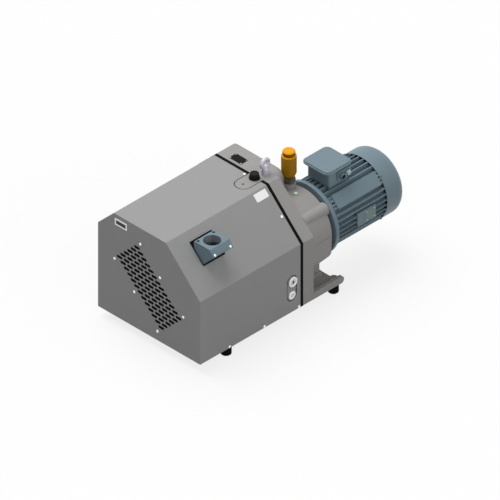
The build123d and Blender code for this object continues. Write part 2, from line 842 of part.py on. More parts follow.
# Bearings and shaft seals: plain rings that fill their seats, with a running gap on the shafts
front_bearing_x = front_plate_x
middle_bearing_x = gearcase_x - bearing_width
bearing_places = [
    (drive_y, front_bearing_x),
    (driven_y, front_bearing_x),
    (drive_y, middle_bearing_x),
    (driven_y, middle_bearing_x),
    (drive_y, chamber_back_x),
]
with BuildPart() as shaft_bearings:
    for y, x in bearing_places:
        ring(y, x, bearing_width, bearing_radius, shaft_radius + running)
write(shaft_bearings, "shaft_bearings")

seal_places = [
    (drive_y, cylinder_x - seal_width),
    (driven_y, cylinder_x - seal_width),
    (drive_y, intermediate_x),
    (driven_y, intermediate_x),
    (drive_y, bell_bore_x - seal_width),
]
with BuildPart() as shaft_seals:
    for y, x in seal_places:
        ring(y, x, seal_width, seal_radius, shaft_radius + running)
write(shaft_seals, "shaft_seals")

# Bearing caps: an open one for the fan end of the drive shaft and a blind one
cap_radius = 46.0
cap_gap = 0.5
with BuildPart() as bearing_caps:
    ring(drive_y, cap_x, cap_depth, cap_radius, shaft_radius + cap_gap)
    ring(driven_y, cap_x, cap_depth, cap_radius, 0.0)
write(bearing_caps, "bearing_caps")

# Cooling fan: back plate, hub and backward-curved blades on the front end of the drive shaft
fan_radius = 95.0
fan_hub_radius = 24.0
fan_plate = 3.0
blade_count = 9
blade_thickness = 2.5
blade_bow = 14.0
blade_lead = 3.0
fan_back_x = fan_x + fan_depth - 1
with BuildPart() as cooling_fan:
    ring(drive_y, fan_x, fan_back_x - fan_x, fan_hub_radius, fan_seat_radius)
    ring(drive_y, fan_back_x - fan_plate, fan_plate, fan_radius, fan_seat_radius)
    with BuildSketch(across(fan_x + blade_lead, drive_y)):
        with BuildSketch(mode=Mode.PRIVATE) as blade:
            with BuildLine():
                back = ThreePointArc(
                    (fan_hub_radius - 1, 0), (fan_radius / 2, blade_bow), (fan_radius - 1, 0)
                )
                front = ThreePointArc(
                    (fan_hub_radius - 1, -blade_thickness),
                    (fan_radius / 2, blade_bow - blade_thickness),
                    (fan_radius - 1, -blade_thickness),
                )
                Line(back @ 0, front @ 0)
                Line(back @ 1, front @ 1)
            make_face()
        with PolarLocations(0, blade_count):
            add(blade.sketch)
    extrude(amount=fan_back_x - fan_plate - fan_x - blade_lead)
write(cooling_fan, "cooling_fan")

# Fan shroud: a duct ring carried by three arms on the front bearing plate
shroud_radius = 100.0
shroud_wall = 2.0
arm_width = 14.0
arm_thickness = 4.0
arm_inner = 66.0
arm_weld = 1.0
shroud_front_x = fan_x - fan_nose
with BuildPart() as fan_shroud:
    ring(drive_y, shroud_front_x, cap_x - shroud_front_x, shroud_radius + shroud_wall, shroud_radius)
    with BuildSketch(across(cap_x - arm_thickness, drive_y)):
        with PolarLocations(shroud_radius - arm_weld, 3, start_angle=90, angular_range=270):
            Rectangle(arm_thickness, arm_width)
    extrude(amount=cap_depth + arm_thickness)
    with BuildSketch(across(front_plate_x - arm_thickness, drive_y)):
        with PolarLocations((arm_inner + shroud_radius + arm_weld) / 2, 3, start_angle=90, angular_range=270):
            Rectangle(shroud_radius - arm_inner + arm_weld, arm_width)
    extrude(amount=arm_thickness)
write(fan_shroud, "fan_shroud")

# Intake filter behind the grille: a mat in a frame, both lying along the slanted band of slots
band_angle = degrees(atan2(slot_pitch_z, slot_pitch_y))
band_step = sqrt(slot_pitch_y**2 + slot_pitch_z**2)
frame_margin = 8.0
filter_window = (
    2 * (grille_screw_u[2] * band_step + frame_margin),
    2 * (grille_screw_v * band_step - frame_margin),
)
filter_rim = 2 * frame_margin
filter_depth = 10.0
with BuildPart() as filter_frame:
    with BuildSketch(Plane.YZ.offset(front_x + sheet)):
        with Locations((0, grille_z)):
            Rectangle(
                filter_window[0] + 2 * filter_rim, filter_window[1] + 2 * filter_rim, rotation=band_angle
            )
            Rectangle(*filter_window, rotation=band_angle, mode=Mode.SUBTRACT)
        with Locations(*grille_screw_places):
            Circle(screw_radius, mode=Mode.SUBTRACT)
    extrude(amount=filter_depth)
write(filter_frame, "filter_frame")

with BuildPart() as intake_filter:
    with BuildSketch(Plane.YZ.offset(front_x + sheet + 1)):
        with Locations((0, grille_z)):
            Rectangle(*filter_window, rotation=band_angle)
    extrude(amount=filter_depth - 2)
write(intake_filter, "intake_filter")


def screw(head_plane, length, radius=screw_radius, head=screw_head_radius, height=screw_head_height):
    """Pan-head screw with a hexagon socket, its head standing on the plane."""
    with BuildSketch(head_plane) as head_disc:
        Circle(head)
    extrude(head_disc.sketch, amount=height)
    with BuildSketch(head_plane) as shank:
        Circle(radius)
    extrude(shank.sketch, amount=-length)
    with BuildSketch(head_plane.offset(height)) as socket:
        RegularPolygon(head / 2, 6)
    extrude(socket.sketch, amount=-height / 2, mode=Mode.SUBTRACT)


def facing(x, y, z, normal, x_dir=(1, 0, 0)):
    """Plane at a point with this normal."""
    return Plane(origin=(x, y, z), x_dir=x_dir, z_dir=normal)


with BuildPart() as cover_screws:
    for side in (-1, 1):
        for x in cover_screw_x:
            screw(facing(x, side * half_width, cover_screw_z, (0, side, 0)), screw_length)
    screw(facing(*top_screw, top_z, (0, 0, 1)), screw_length)
    screw(slope_plane, screw_length)
    for y, z in grille_screw_places:
        screw(facing(front_x, y, z, (-1, 0, 0), (0, 1, 0)), screw_length)
write(cover_screws, "cover_screws")

# Exhaust silencer: a welded steel box between the cylinder outlet and the housing's exhaust chamber
silencer_wall = 3.0
silencer_round = 10.0
silencer_x = cylinder_x + 22
baffle_x = outlet_x - 85
silencer_y = half_width - sheet - gearcase_inset
silencer_z = (base_z + 60, base_z + 300)
with BuildPart() as silencer:
    box(silencer_x, intermediate_x, outlet_y, silencer_y, *silencer_z)
    fillet(silencer.edges().filter_by(Axis.X), silencer_round)
    box(
        silencer_x + silencer_wall,
        intermediate_x - silencer_wall,
        outlet_y + silencer_wall,
        silencer_y - silencer_wall,
        silencer_z[0] + silencer_wall,
        silencer_z[1] - silencer_wall,
        mode=Mode.SUBTRACT,
    )
    box(baffle_x, baffle_x + silencer_wall, outlet_y, silencer_y - silencer_wall, *silencer_z)
    with BuildSketch(Plane.YZ.offset(intermediate_x)):
        with Locations((exhaust_y, exhaust_z)):
            RectangleRounded(*port_size)
    extrude(amount=-silencer_wall, mode=Mode.SUBTRACT)
    with BuildSketch(Plane.XZ.offset(-outlet_y)):
        with Locations((outlet_x, shaft_z)):
            RectangleRounded(*outlet_window)
    extrude(amount=-silencer_wall, mode=Mode.SUBTRACT)
write(silencer, "silencer")

# Inlet block: a cast elbow from the upright port to the valve seat on the cylinder
duct_floor = 12.0
duct_roof = 22.0
duct_slope = 37.0
block_foot_y = (inlet_valve_y - valve_pad / 2 + 1, inlet_valve_y + valve_pad / 2 - 2)
block_screw_x = (block_x + 9, block_x + 76.5)
block_screw_y = inlet_y + 27.5
block_shoulder = 24.0
block_screw_radius = 3.0
block_screw_head = 5.0
block_recess = 14.0
edge_screw_share = 0.78
edge_screw_y = block_front_y + (chamfer_y - block_front_y) * edge_screw_share
edge_screw_z = block_top + (chamfer_z - block_top) * edge_screw_share
edge_normal = (0, chamfer_z - block_top, block_front_y - chamfer_y)
edge_screw_radius = 2.0
edge_screw_head = 4.5
edge_screw_length = 8.0
edge_planes = [facing(x, edge_screw_y, edge_screw_z, edge_normal) for x in block_screw_x]
with BuildPart() as inlet_block:
    with BuildSketch(Plane.YZ.offset(block_x)):
        Polygon(
            (block_back_y, block_top),
            (block_front_y, block_top),
            (chamfer_y, chamfer_z),
            (block_foot_y[0], block_under - block_foot_y[0]),
            (block_foot_y[0], pad_z),
            (block_foot_y[1], pad_z),
            (block_foot_y[1], pad_z + block_shoulder),
            (block_back_y, pad_z + block_shoulder + block_foot_y[1] - block_back_y),
            align=None,
        )
    extrude(amount=block_length)
    fillet(inlet_block.edges().filter_by(Axis.X).sort_by(Axis.Z)[-3:], 4)
    with BuildSketch(Plane.YZ.offset(inlet_x - inlet_radius)):
        Polygon(
            (inlet_y - inlet_radius, block_top - inlet_depth),
            (inlet_y - inlet_radius + duct_slope, block_top - inlet_depth - duct_slope),
            (inlet_valve_y - valve_bore, pad_z + duct_floor),
            (inlet_valve_y + valve_bore, pad_z + duct_floor),
            (inlet_valve_y + valve_bore, pad_z + duct_roof),
            (inlet_y + inlet_radius, pad_z + duct_roof + inlet_valve_y + valve_bore - inlet_y - inlet_radius),
            (inlet_y + inlet_radius, block_top - inlet_depth),
            align=None,
        )
    extrude(amount=2 * inlet_radius, mode=Mode.SUBTRACT)
    upright_hole(inlet_x, inlet_y, block_top - inlet_depth, block_top, inlet_radius)
    upright_hole(*valve_axis, pad_z, pad_z + duct_floor, valve_bore)
    with BuildSketch(Plane.XY.offset(block_top)):
        with Locations(*[(x, block_screw_y) for x in block_screw_x]):
            Circle(block_screw_head + 0.5)
    extrude(amount=-block_recess, mode=Mode.SUBTRACT)
    with BuildSketch(Plane.XY.offset(block_top)):
        with Locations(*[(x, block_screw_y) for x in block_screw_x]):
            Circle(block_screw_radius)
    extrude(amount=pad_z - block_top, mode=Mode.SUBTRACT)
    for plane in edge_planes:
        with BuildSketch(plane):
            Circle(edge_screw_radius)
        extrude(amount=-edge_screw_length, mode=Mode.SUBTRACT)
write(inlet_block, "inlet_block")

with BuildPart() as block_screws:
    for x in block_screw_x:
        head_z = block_top - block_recess
        screw(
            facing(x, block_screw_y, head_z, (0, 0, 1)),
            head_z - pad_z,
            block_screw_radius,
            block_screw_head,
            block_screw_head,
        )
    for plane in edge_planes:
        screw(plane, edge_screw_length, edge_screw_radius, edge_screw_head)
write(block_screws, "block_screws")

# Inlet valve: a light disc that a spring holds up against the block, and that the flow pulls down
with BuildPart() as inlet_valve_disc:
    turn_up(
        *valve_axis,
        (0, pad_z - valve_thickness),
        (valve_disc_radius, pad_z - valve_thickness),
        (valve_disc_radius, pad_z - 0.1),
        (0, pad_z - 0.1),
    )
write(inlet_valve_disc, "inlet_valve_disc")

spring_radius = 25.0
wire_radius = 1.2
spring_base = pad_z - valve_pocket + wire_radius + 0.1
spring_height = valve_pocket - valve_thickness - 2 * wire_radius - 0.3


def coil(x, y, z, radius, height, turns, wire):
    """Coil spring of round wire with its axis upright."""
    with BuildLine(Plane(origin=(x, y, z))) as run:
        Helix(pitch=height / turns, height=height, radius=radius)
    with BuildSketch(Plane(origin=run.line @ 0, z_dir=run.line % 0)) as section:
        Circle(wire)
    sweep(section.sketch, path=run.line)


with BuildPart() as inlet_valve_spring:
    coil(*valve_axis, spring_base, spring_radius, spring_height, 2, wire_radius)
write(inlet_valve_spring, "inlet_valve_spring")

# Oil filler: a ribbed knob on a threaded plug
knob_radius = 17.5
knob_top_radius = 15.0
knob_rim = 7.0
knob_step = 2.0
knob_height = 20.0
knob_flutes = 10
flute_radius = 1.8
filler_length = 18.0
with BuildPart() as oil_filler_cap:
    turn_up(
        filler_x,
        filler_y,
        (0, top_z - filler_length),
        (filler_radius - running, top_z - filler_length),
        (filler_radius - running, top_z),
        (knob_radius, top_z),
        (knob_radius, top_z + knob_rim),
        (knob_top_radius, top_z + knob_rim + knob_step),
        (knob_top_radius, top_z + knob_height - knob_step),
        (knob_top_radius - knob_step, top_z + knob_height),
        (0, top_z + knob_height),
    )
    with BuildSketch(Plane.XY.offset(top_z + knob_rim + knob_step)):
        with Locations((filler_x, filler_y)):
            with PolarLocations(knob_top_radius + flute_radius / 3, knob_flutes):
                Circle(flute_radius)
    extrude(amount=knob_height, mode=Mode.SUBTRACT)
write(oil_filler_cap, "oil_filler_cap")

# Sight glass and drain plug in the right side of the gear housing
glass_rim = 18.0
glass_proud = 8.0
drain_rim = 14.5
drain_proud = 3.0
glass_window = 10.0
glass_recess = 3.0
drain_socket = 7.0
plug_reach = 20.0


def side_plug(z, radius, rim, proud):
    """Round plug in the right side: collar on the housing's pad, with a threaded shank inside it."""
    for size, depth in ((rim, proud + glass_pad_inset), (radius, -plug_reach)):
        with BuildSketch(Plane.XZ.offset(half_width - glass_pad_inset)) as disc:
            with Locations((glass_x, z)):
                Circle(size)
        extrude(disc.sketch, amount=depth)


with BuildPart() as sight_glass:
    side_plug(glass_z, glass_radius, glass_rim, glass_proud)
    with BuildSketch(Plane.XZ.offset(half_width + glass_proud)):
        with Locations((glass_x, glass_z)):
            Circle(glass_window)
    extrude(amount=-glass_recess, mode=Mode.SUBTRACT)
write(sight_glass, "sight_glass")

with BuildPart() as drain_plug:
    side_plug(drain_z, drain_radius, drain_rim, drain_proud)
    with BuildSketch(Plane.XZ.offset(half_width + drain_proud)):
        with Locations((glass_x, drain_z)):
            RegularPolygon(drain_socket, 6)
    extrude(amount=-drain_socket, mode=Mode.SUBTRACT)
write(drain_plug, "drain_plug")

vent_head = (8.5, 3.0)
vent_dome = (6.0, 4.5)
vent_length = 12.0
with BuildPart() as vent_plug:
    turn_up(
        vent_x,
        vent_y,
        (0, vent_seat_z - vent_length),
        (vent_thread, vent_seat_z - vent_length),
        (vent_thread, vent_seat_z),
        (vent_head[0], vent_seat_z),
        (vent_head[0], vent_seat_z + vent_head[1]),
        (vent_dome[0], vent_seat_z + vent_dome[1]),
        (0, vent_seat_z + vent_dome[1]),
    )
write(vent_plug, "vent_plug")

# Lifting eye on a round post
post_radius = 12.0
post_height = 18.0
post_stud = 15.0
post_thread = 12.0
eye_radius = 15.5
eye_wire = 5.5
eye_z = top_z + 39.0
eye_foot_radius = 11.0
eye_foot_height = 3.0
eye_neck = 7.0
with BuildPart() as lifting_post:
    turn_up(
        lift_x,
        lift_y,
        (0, top_z - post_stud),
        (lift_thread, top_z - post_stud),
        (lift_thread, top_z),
        (post_radius, top_z),
        (post_radius, top_z + post_height),
        (lift_thread, top_z + post_height),
        (lift_thread, top_z + post_height - post_thread),
        (0, top_z + post_height - post_thread),
    )
write(lifting_post, "lifting_post")

with BuildPart() as eyebolt:
    with BuildSketch(Plane(origin=(lift_x, lift_y, eye_z), x_dir=(1, 0, 0), z_dir=(0, 0, 1))) as eye_section:
        with Locations((eye_radius, 0)):
            Circle(eye_wire)
    revolve(eye_section.sketch, axis=Axis((lift_x, lift_y, eye_z), (0, 1, 0)))
    turn_up(
        lift_x,
        lift_y,
        (0, top_z + post_height - post_thread + 2),
        (lift_thread, top_z + post_height - post_thread + 2),
        (lift_thread, top_z + post_height),
        (eye_foot_radius, top_z + post_height),
        (eye_foot_radius, top_z + post_height + eye_foot_height),
        (eye_neck, eye_z - eye_radius),
        (0, eye_z - eye_radius),
    )
write(eyebolt, "eyebolt")

# Vacuum relief valve on the bell: nipple, body, cap with air slots in its neck, and a sprung poppet
nut_z = valve_seat_z + 12.0
nut_across = 19.0
body_z = nut_z + 14.0
body_radius = 24.5
body_foot_radius = 18.0
body_taper = 14.0
relief_top_z = top_z + 51.0
relief_neck_z = relief_top_z - 17.0
neck_height = 4.0
neck_radius = 17.5
relief_cap_radius = 20.5
cap_round = 3.0
cap_hollow = 12.0
relief_hole = 6.0
relief_bore = 14.0
relief_floor_z = body_z + 8
seat_z = body_z + 45
seat_thickness = 3.0
seat_radius = 9.0
air_slots = 6
air_slot_width = 6.0
poppet_radius = 13.0
poppet_stem = 6.0
poppet_disc = 4.0
with BuildPart() as relief_nipple:
    turn_up(
        valve_x,
        valve_y,
        (relief_hole, valve_seat_z - 12),
        (valve_thread, valve_seat_z - 12),
        (valve_thread, nut_z),
        (relief_hole, nut_z),
    )
    with BuildSketch(Plane.XY.offset(nut_z)):
        with Locations((valve_x, valve_y)):
            RegularPolygon(nut_across, 6)
            Circle(relief_hole, mode=Mode.SUBTRACT)
    extrude(amount=body_z - nut_z)
write(relief_nipple, "relief_nipple")

with BuildPart() as relief_valve_body:
    turn_up(
        valve_x,
        valve_y,
        (relief_hole, body_z),
        (body_foot_radius, body_z),
        (body_radius, body_z + body_taper),
        (body_radius, relief_neck_z - 2),
        (body_radius - 2, relief_neck_z),
        (relief_bore, relief_neck_z),
        (relief_bore, seat_z + seat_thickness),
        (seat_radius, seat_z + seat_thickness),
        (seat_radius, seat_z),
        (relief_bore, seat_z),
        (relief_bore, relief_floor_z),
        (relief_hole, relief_floor_z),
    )
write(relief_valve_body, "relief_valve_body")

with BuildPart() as relief_valve_cap:
    turn_up(
        valve_x,
        valve_y,
        (cap_hollow, relief_neck_z),
        (neck_radius, relief_neck_z),
        (neck_radius, relief_neck_z + neck_height),
        (relief_cap_radius, relief_neck_z + neck_height + 1),
        (relief_cap_radius, relief_top_z - cap_round),
        (relief_cap_radius - cap_round, relief_top_z),
        (0, relief_top_z),
        (0, relief_neck_z + 2 * neck_height),
        (cap_hollow, relief_neck_z + 2 * neck_height),
    )
    with BuildSketch(Plane.XY.offset(relief_neck_z)):
        with Locations((valve_x, valve_y)):
            with PolarLocations((cap_hollow + neck_radius) / 2, air_slots):
                Rectangle(2 * (neck_radius - cap_hollow), air_slot_width)
    extrude(amount=neck_height - 1, mode=Mode.SUBTRACT)
write(relief_valve_cap, "relief_valve_cap")

with BuildPart() as relief_poppet:
    turn_up(
        valve_x,
        valve_y,
        (0, seat_z - 2 * poppet_disc),
        (poppet_stem, seat_z - 2 * poppet_disc),
        (poppet_stem, seat_z - poppet_disc),
        (poppet_radius, seat_z - poppet_disc),
        (poppet_radius, seat_z - 0.1),
        (0, seat_z - 0.1),
    )
write(relief_poppet, "relief_poppet")

relief_wire = 1.0
relief_spring_radius = 10.5
relief_spring_z = relief_floor_z + relief_wire + 0.1
relief_spring_height = seat_z - poppet_disc - relief_floor_z - 2 * relief_wire - 0.3
with BuildPart() as relief_spring:
    coil(valve_x, valve_y, relief_spring_z, relief_spring_radius, relief_spring_height, 5, relief_wire)
write(relief_spring, "relief_spring")

# Coupling: two jaw hubs with an elastic spider between them
coupling_radius = 40.0
jaw_count = 3
jaw_angle = 42.0
jaw_gap = 18.0
spider_hole = 16.0
pump_hub_face = coupling_x + hub_length
motor_hub_face = pump_hub_face + jaw_gap
motor_hub_back = flange_x - spigot_depth - 6


def sectors(angle, start, count, outer, inner):
    """Ring sectors of one angle spread round the shaft line, inside a sketch."""
    for k in range(count):
        first = radians(start + 360 * k / count - angle / 2)
        middle = first + radians(angle / 2)
        last = first + radians(angle)
        with BuildSketch(mode=Mode.PRIVATE) as sector:
            with BuildLine():
                for radius in (outer, inner):
                    ThreePointArc(
                        polar_point(radius, first), polar_point(radius, middle), polar_point(radius, last)
                    )
                for edge in (first, last):
                    Line(polar_point(outer, edge), polar_point(inner, edge))
            make_face()
        add(sector.sketch)


with BuildPart() as pump_coupling_hub:
    ring(drive_y, coupling_x, hub_length, coupling_radius, coupling_seat_radius)
    with BuildSketch(across(pump_hub_face, drive_y)):
        sectors(jaw_angle, 0, jaw_count, coupling_radius, spider_hole + 2)
    extrude(amount=jaw_gap - 1)
write(pump_coupling_hub, "pump_coupling_hub")

with BuildPart() as motor_coupling_hub:
    ring(drive_y, motor_hub_face, motor_hub_back - motor_hub_face, coupling_radius, motor_shaft_radius)
    with BuildSketch(across(motor_hub_face, drive_y)):
        sectors(jaw_angle, 180 / jaw_count, jaw_count, coupling_radius, spider_hole + 2)
    extrude(amount=1 - jaw_gap)
write(motor_coupling_hub, "motor_coupling_hub")

with BuildPart() as coupling_spider:
    with BuildSketch(across(pump_hub_face + 1, drive_y)):
        sectors(
            180 / jaw_count - jaw_angle, 90 / jaw_count, 2 * jaw_count, coupling_radius - 1, spider_hole + 1
        )
        Circle(spider_hole + 2)
        Circle(spider_hole, mode=Mode.SUBTRACT)
    extrude(amount=jaw_gap - 2)
write(coupling_spider, "coupling_spider")

# Motor: shields, finned frame, stator, rotor, shaft, bearings, fan and cowl
shield_depth = 28.0
frame_x = flange_x + shield_depth
frame_back_x = back_x - cowl_length
frame_wall = 10.0
stator_bore = frame_radius - 38
air_gap = 0.5
stator_x = frame_x + 35
stator_length = 125.0
winding_length = 24.0
winding_gap = 4.0
motor_core_radius = 20.0
end_ring_width = 10.0
end_ring_gap = 6.0
end_ring_bore = 40.0
motor_bearing_radius = 31.0
motor_bearing_bore = 15.0
motor_bearing_width = 16.0
shield_bore = motor_bearing_bore + 1
shield_web = 8.0
front_boss_radius = motor_bearing_radius + 12
rear_boss_radius = motor_bearing_radius + 9
rear_shield_depth = 10.0
rear_boss_depth = 16.0
cowl_lug_width = 16.0
cowl_lug_shift = 2.4
front_motor_bearing_x = flange_x + shield_depth - 2 - motor_bearing_width
rear_motor_bearing_x = frame_back_x - 14
with BuildPart() as motor_front_shield:
    turn(
        drive_y,
        (flange_x - spigot_depth, shield_bore),
        (flange_x - spigot_depth, spigot_radius),
        (flange_x, spigot_radius),
        (flange_x, flange_radius),
        (flange_x + flange_thickness, flange_radius),
        (flange_x + flange_thickness, frame_radius),
        (frame_x, frame_radius),
        (frame_x, frame_radius - frame_wall),
        (flange_x + shield_web, frame_radius - frame_wall),
        (flange_x + shield_web, front_boss_radius),
        (frame_x, front_boss_radius),
        (frame_x, motor_bearing_radius),
        (front_motor_bearing_x, motor_bearing_radius),
        (front_motor_bearing_x, shield_bore),
    )
    with BuildSketch(Plane.YZ.offset(flange_x)):
        with Locations(*bolt_places):
            Circle(flange_bolt_radius)
    extrude(amount=flange_thickness, mode=Mode.SUBTRACT)
write(motor_front_shield, "motor_front_shield")

flange_head = 9.4
flange_head_height = 7.5
flange_bolt_reach = flange_bolt_depth - 2
with BuildPart() as flange_bolts:
    with BuildSketch(Plane.YZ.offset(flange_x - flange_bolt_reach)):
        with Locations(*bolt_places):
            Circle(flange_bolt_radius)
    extrude(amount=flange_bolt_reach + flange_thickness)
    with BuildSketch(Plane.YZ.offset(flange_x + flange_thickness)):
        with Locations(*bolt_places):
            RegularPolygon(flange_head, 6)
    extrude(amount=flange_head_height)
write(flange_bolts, "flange_bolts")

fin_spacing = 18.5
fin_rows = 10
motor_fin = 3.2
side_pad_width = 48.0
pad_reach_radius = fin_radius + 1
pad_root = 6.0
box_pad_z = shaft_z + fin_radius + 4
box_neck_inset = 8.0
box_x = (flange_x + 49, flange_x + 143)
box_half = 48.0
plate_pad_x = (flange_x + 108, flange_x + 188)
plate_pad_z = (shaft_z - 30, shaft_z + 18)
foot_pad_x = (frame_x + 15, frame_back_x - 8)
fin_offsets = [(k - (fin_rows - 1) / 2) * fin_spacing for k in range(fin_rows)]
with BuildPart() as motor_frame:
    with BuildSketch(across(frame_x, drive_y)):
        with Locations(*[(0, z) for z in fin_offsets]):
            Rectangle(3 * fin_radius, motor_fin)
        with Locations(*[(y, 0) for y in fin_offsets]):
            Rectangle(motor_fin, 3 * fin_radius)
        Circle(fin_radius, mode=Mode.INTERSECT)
        Circle(frame_radius)
        Circle(frame_radius - frame_wall, mode=Mode.SUBTRACT)
    extrude(amount=frame_back_x - frame_x)
    with BuildSketch(across(foot_pad_x[0], drive_y)):
        with PolarLocations((pad_reach_radius + frame_radius - pad_root) / 2, 4, start_angle=45):
            Rectangle(pad_reach_radius - frame_radius + pad_root, side_pad_width)
    extrude(amount=foot_pad_x[1] - foot_pad_x[0])
    box(
        box_x[0] + box_neck_inset,
        box_x[1] - box_neck_inset,
        drive_y - box_half + box_neck_inset,
        drive_y + box_half - box_neck_inset,
        shaft_z + frame_radius / 2,
        box_pad_z,
    )
    box(*plate_pad_x, drive_y - pad_reach_radius, drive_y - frame_radius + pad_root, *plate_pad_z)
    bore(drive_y, frame_x, frame_back_x - frame_x, frame_radius - frame_wall)
write(motor_frame, "motor_frame")

with BuildPart() as motor_rear_shield:
    turn(
        drive_y,
        (frame_back_x, frame_radius),
        (frame_back_x + rear_shield_depth, frame_radius),
        (frame_back_x + rear_shield_depth, rear_boss_radius),
        (frame_back_x + rear_boss_depth, rear_boss_radius),
        (frame_back_x + rear_boss_depth, shield_bore),
        (rear_motor_bearing_x + motor_bearing_width, shield_bore),
        (rear_motor_bearing_x + motor_bearing_width, motor_bearing_radius),
        (rear_motor_bearing_x, motor_bearing_radius),
        (rear_motor_bearing_x, rear_boss_radius),
        (frame_back_x, rear_boss_radius),
    )
    with BuildSketch(across(frame_back_x, drive_y)):
        with PolarLocations((frame_radius + cowl_radius) / 2 - cowl_lug_shift, 4, start_angle=45):
            Rectangle(cowl_radius - frame_radius + 1, cowl_lug_width)
    extrude(amount=rear_shield_depth)
write(motor_rear_shield, "motor_rear_shield")

with BuildPart() as stator:
    ring(drive_y, stator_x, stator_length, frame_radius - frame_wall, stator_bore)
write(stator, "stator")

with BuildPart() as windings:
    for x in (stator_x - winding_length, stator_x + stator_length):
        ring(drive_y, x, winding_length, frame_radius - frame_wall - winding_gap, stator_bore + winding_gap)
write(windings, "windings")

with BuildPart() as rotor:
    ring(drive_y, stator_x, stator_length, stator_bore - air_gap, motor_core_radius)
    for x in (stator_x - end_ring_width, stator_x + stator_length):
        ring(drive_y, x, end_ring_width, stator_bore - end_ring_gap, end_ring_bore)
write(rotor, "rotor")

motor_fan_x = frame_back_x + 24
motor_fan_width = 34.0
motor_fan_radius = 96.0
fan_shaft_radius = 12.5
fan_shaft_x = frame_back_x + rear_boss_depth + 2
fan_boss_radius = 20.0
fan_disc = 3.0
vane_root = 18.0
vane_count = 8
vane_thickness = 2.5
with BuildPart() as motor_shaft:
    turn(
        drive_y,
        (flange_x - motor_shaft_reach, 0),
        (flange_x - motor_shaft_reach, motor_shaft_radius),
        (flange_x, motor_shaft_radius),
        (flange_x, motor_bearing_bore - running),
        (front_motor_bearing_x + motor_bearing_width, motor_bearing_bore - running),
        (front_motor_bearing_x + motor_bearing_width, motor_core_radius),
        (rear_motor_bearing_x, motor_core_radius),
        (rear_motor_bearing_x, motor_bearing_bore - running),
        (fan_shaft_x, motor_bearing_bore - running),
        (fan_shaft_x, fan_shaft_radius),
        (motor_fan_x + motor_fan_width, fan_shaft_radius),
        (motor_fan_x + motor_fan_width, 0),
    )
write(motor_shaft, "motor_shaft")

with BuildPart() as motor_bearings:
    for x in (front_motor_bearing_x, rear_motor_bearing_x):
        ring(drive_y, x, motor_bearing_width, motor_bearing_radius, motor_bearing_bore)
write(motor_bearings, "motor_bearings")

with BuildPart() as motor_fan:
    ring(drive_y, motor_fan_x, motor_fan_width, fan_boss_radius, fan_shaft_radius)
    ring(drive_y, motor_fan_x, fan_disc, motor_fan_radius, fan_shaft_radius)
    with BuildSketch(across(motor_fan_x + fan_disc - 1, drive_y)):
        with PolarLocations((motor_fan_radius + vane_root) / 2, vane_count):
            Rectangle(motor_fan_radius - vane_root, vane_thickness)
    extrude(amount=motor_fan_width - fan_disc + 1)
write(motor_fan, "motor_fan")

cowl_sheet = 1.5
cowl_round = 32.0
cowl_slots = 5
cowl_slot_angle = 51.0
cowl_slot_start = 19.0
cowl_slot_width = 7.0
cowl_slot_pitch = 13.0
cowl_spokes = 6
with BuildPart() as fan_cowl:
    turn(drive_y, (frame_back_x, 0), (frame_back_x, cowl_radius), (back_x, cowl_radius), (back_x, 0))
    fillet(fan_cowl.edges().sort_by(Axis.X)[-1], cowl_round)
    offset(amount=-cowl_sheet, openings=fan_cowl.faces().sort_by(Axis.X)[0])
    with BuildSketch(across(back_x, drive_y)):
        for k in range(cowl_slots):
            slot_radius = cowl_slot_start + k * cowl_slot_pitch
            sectors(cowl_slot_angle, 0, cowl_spokes, slot_radius + cowl_slot_width, slot_radius)
    extrude(amount=-2 * cowl_sheet, mode=Mode.SUBTRACT)
write(fan_cowl, "fan_cowl")

# Terminal box with board, lid, screws and cable glands
box_height = 43.0
lid_z = box_pad_z + box_height
lid_lip = 6.0
lid_crown = 9.0
lid_top_z = lid_z + lid_lip + lid_crown
lid_size = (114.0, 116.0, 12.0)
lid_border = 3.0
lid_slant = 6.0
box_wall = 4.0
box_round = 8.0
box_centre_x = sum(box_x) / 2
gland_x = (box_x[0] + 49, box_x[1] - 18)
gland_z = box_pad_z + 24
gland_radius = 8.0
gland_plate = (58.0, 34.0, 5.0)
gland_plate_depth = 4.0
gland_face_y = drive_y - box_half - gland_plate_depth
lid_screw_inset = 18.0
lid_screw_radius = 2.0
lid_screw_head = 4.0
lid_screw_height = 2.5
lid_post_radius = 6.0
lid_post_length = 16.0
lid_screw_reach = (lid_size[0] / 2 - lid_screw_inset, lid_size[1] / 2 - lid_screw_inset)
lid_screw_places = [
    (box_centre_x + i * lid_screw_reach[0], drive_y + j * lid_screw_reach[1])
    for i in (-1, 1)
    for j in (-1, 1)
]
with BuildPart() as terminal_box:
    box(*box_x, drive_y - box_half, drive_y + box_half, box_pad_z, lid_z)
    fillet(terminal_box.edges().filter_by(Axis.Z), box_round)
    box(
        box_x[0] + box_wall,
        box_x[1] - box_wall,
        drive_y - box_half + box_wall,
        drive_y + box_half - box_wall,
        box_pad_z + box_wall,
        lid_z,
        mode=Mode.SUBTRACT,
    )
    with BuildSketch(Plane.XY.offset(lid_z)):
        with Locations(*lid_screw_places):
            Circle(lid_post_radius)
    extrude(amount=-lid_post_length)
    with BuildSketch(Plane.XY.offset(lid_z)):
        with Locations(*lid_screw_places):
            Circle(lid_screw_radius)
    extrude(amount=-lid_post_length, mode=Mode.SUBTRACT)
    with BuildSketch(Plane.XZ.offset(-gland_face_y)):
        with Locations((sum(gland_x) / 2, gland_z)):
            RectangleRounded(*gland_plate)
        with Locations(*[(x, gland_z) for x in gland_x]):
            Circle(gland_radius, mode=Mode.SUBTRACT)
    extrude(amount=-gland_plate_depth)
    with BuildSketch(Plane.XZ.offset(-gland_face_y)):
        with Locations(*[(x, gland_z) for x in gland_x]):
            Circle(gland_radius)
    extrude(amount=-gland_plate_depth - box_wall, mode=Mode.SUBTRACT)
write(terminal_box, "terminal_box")

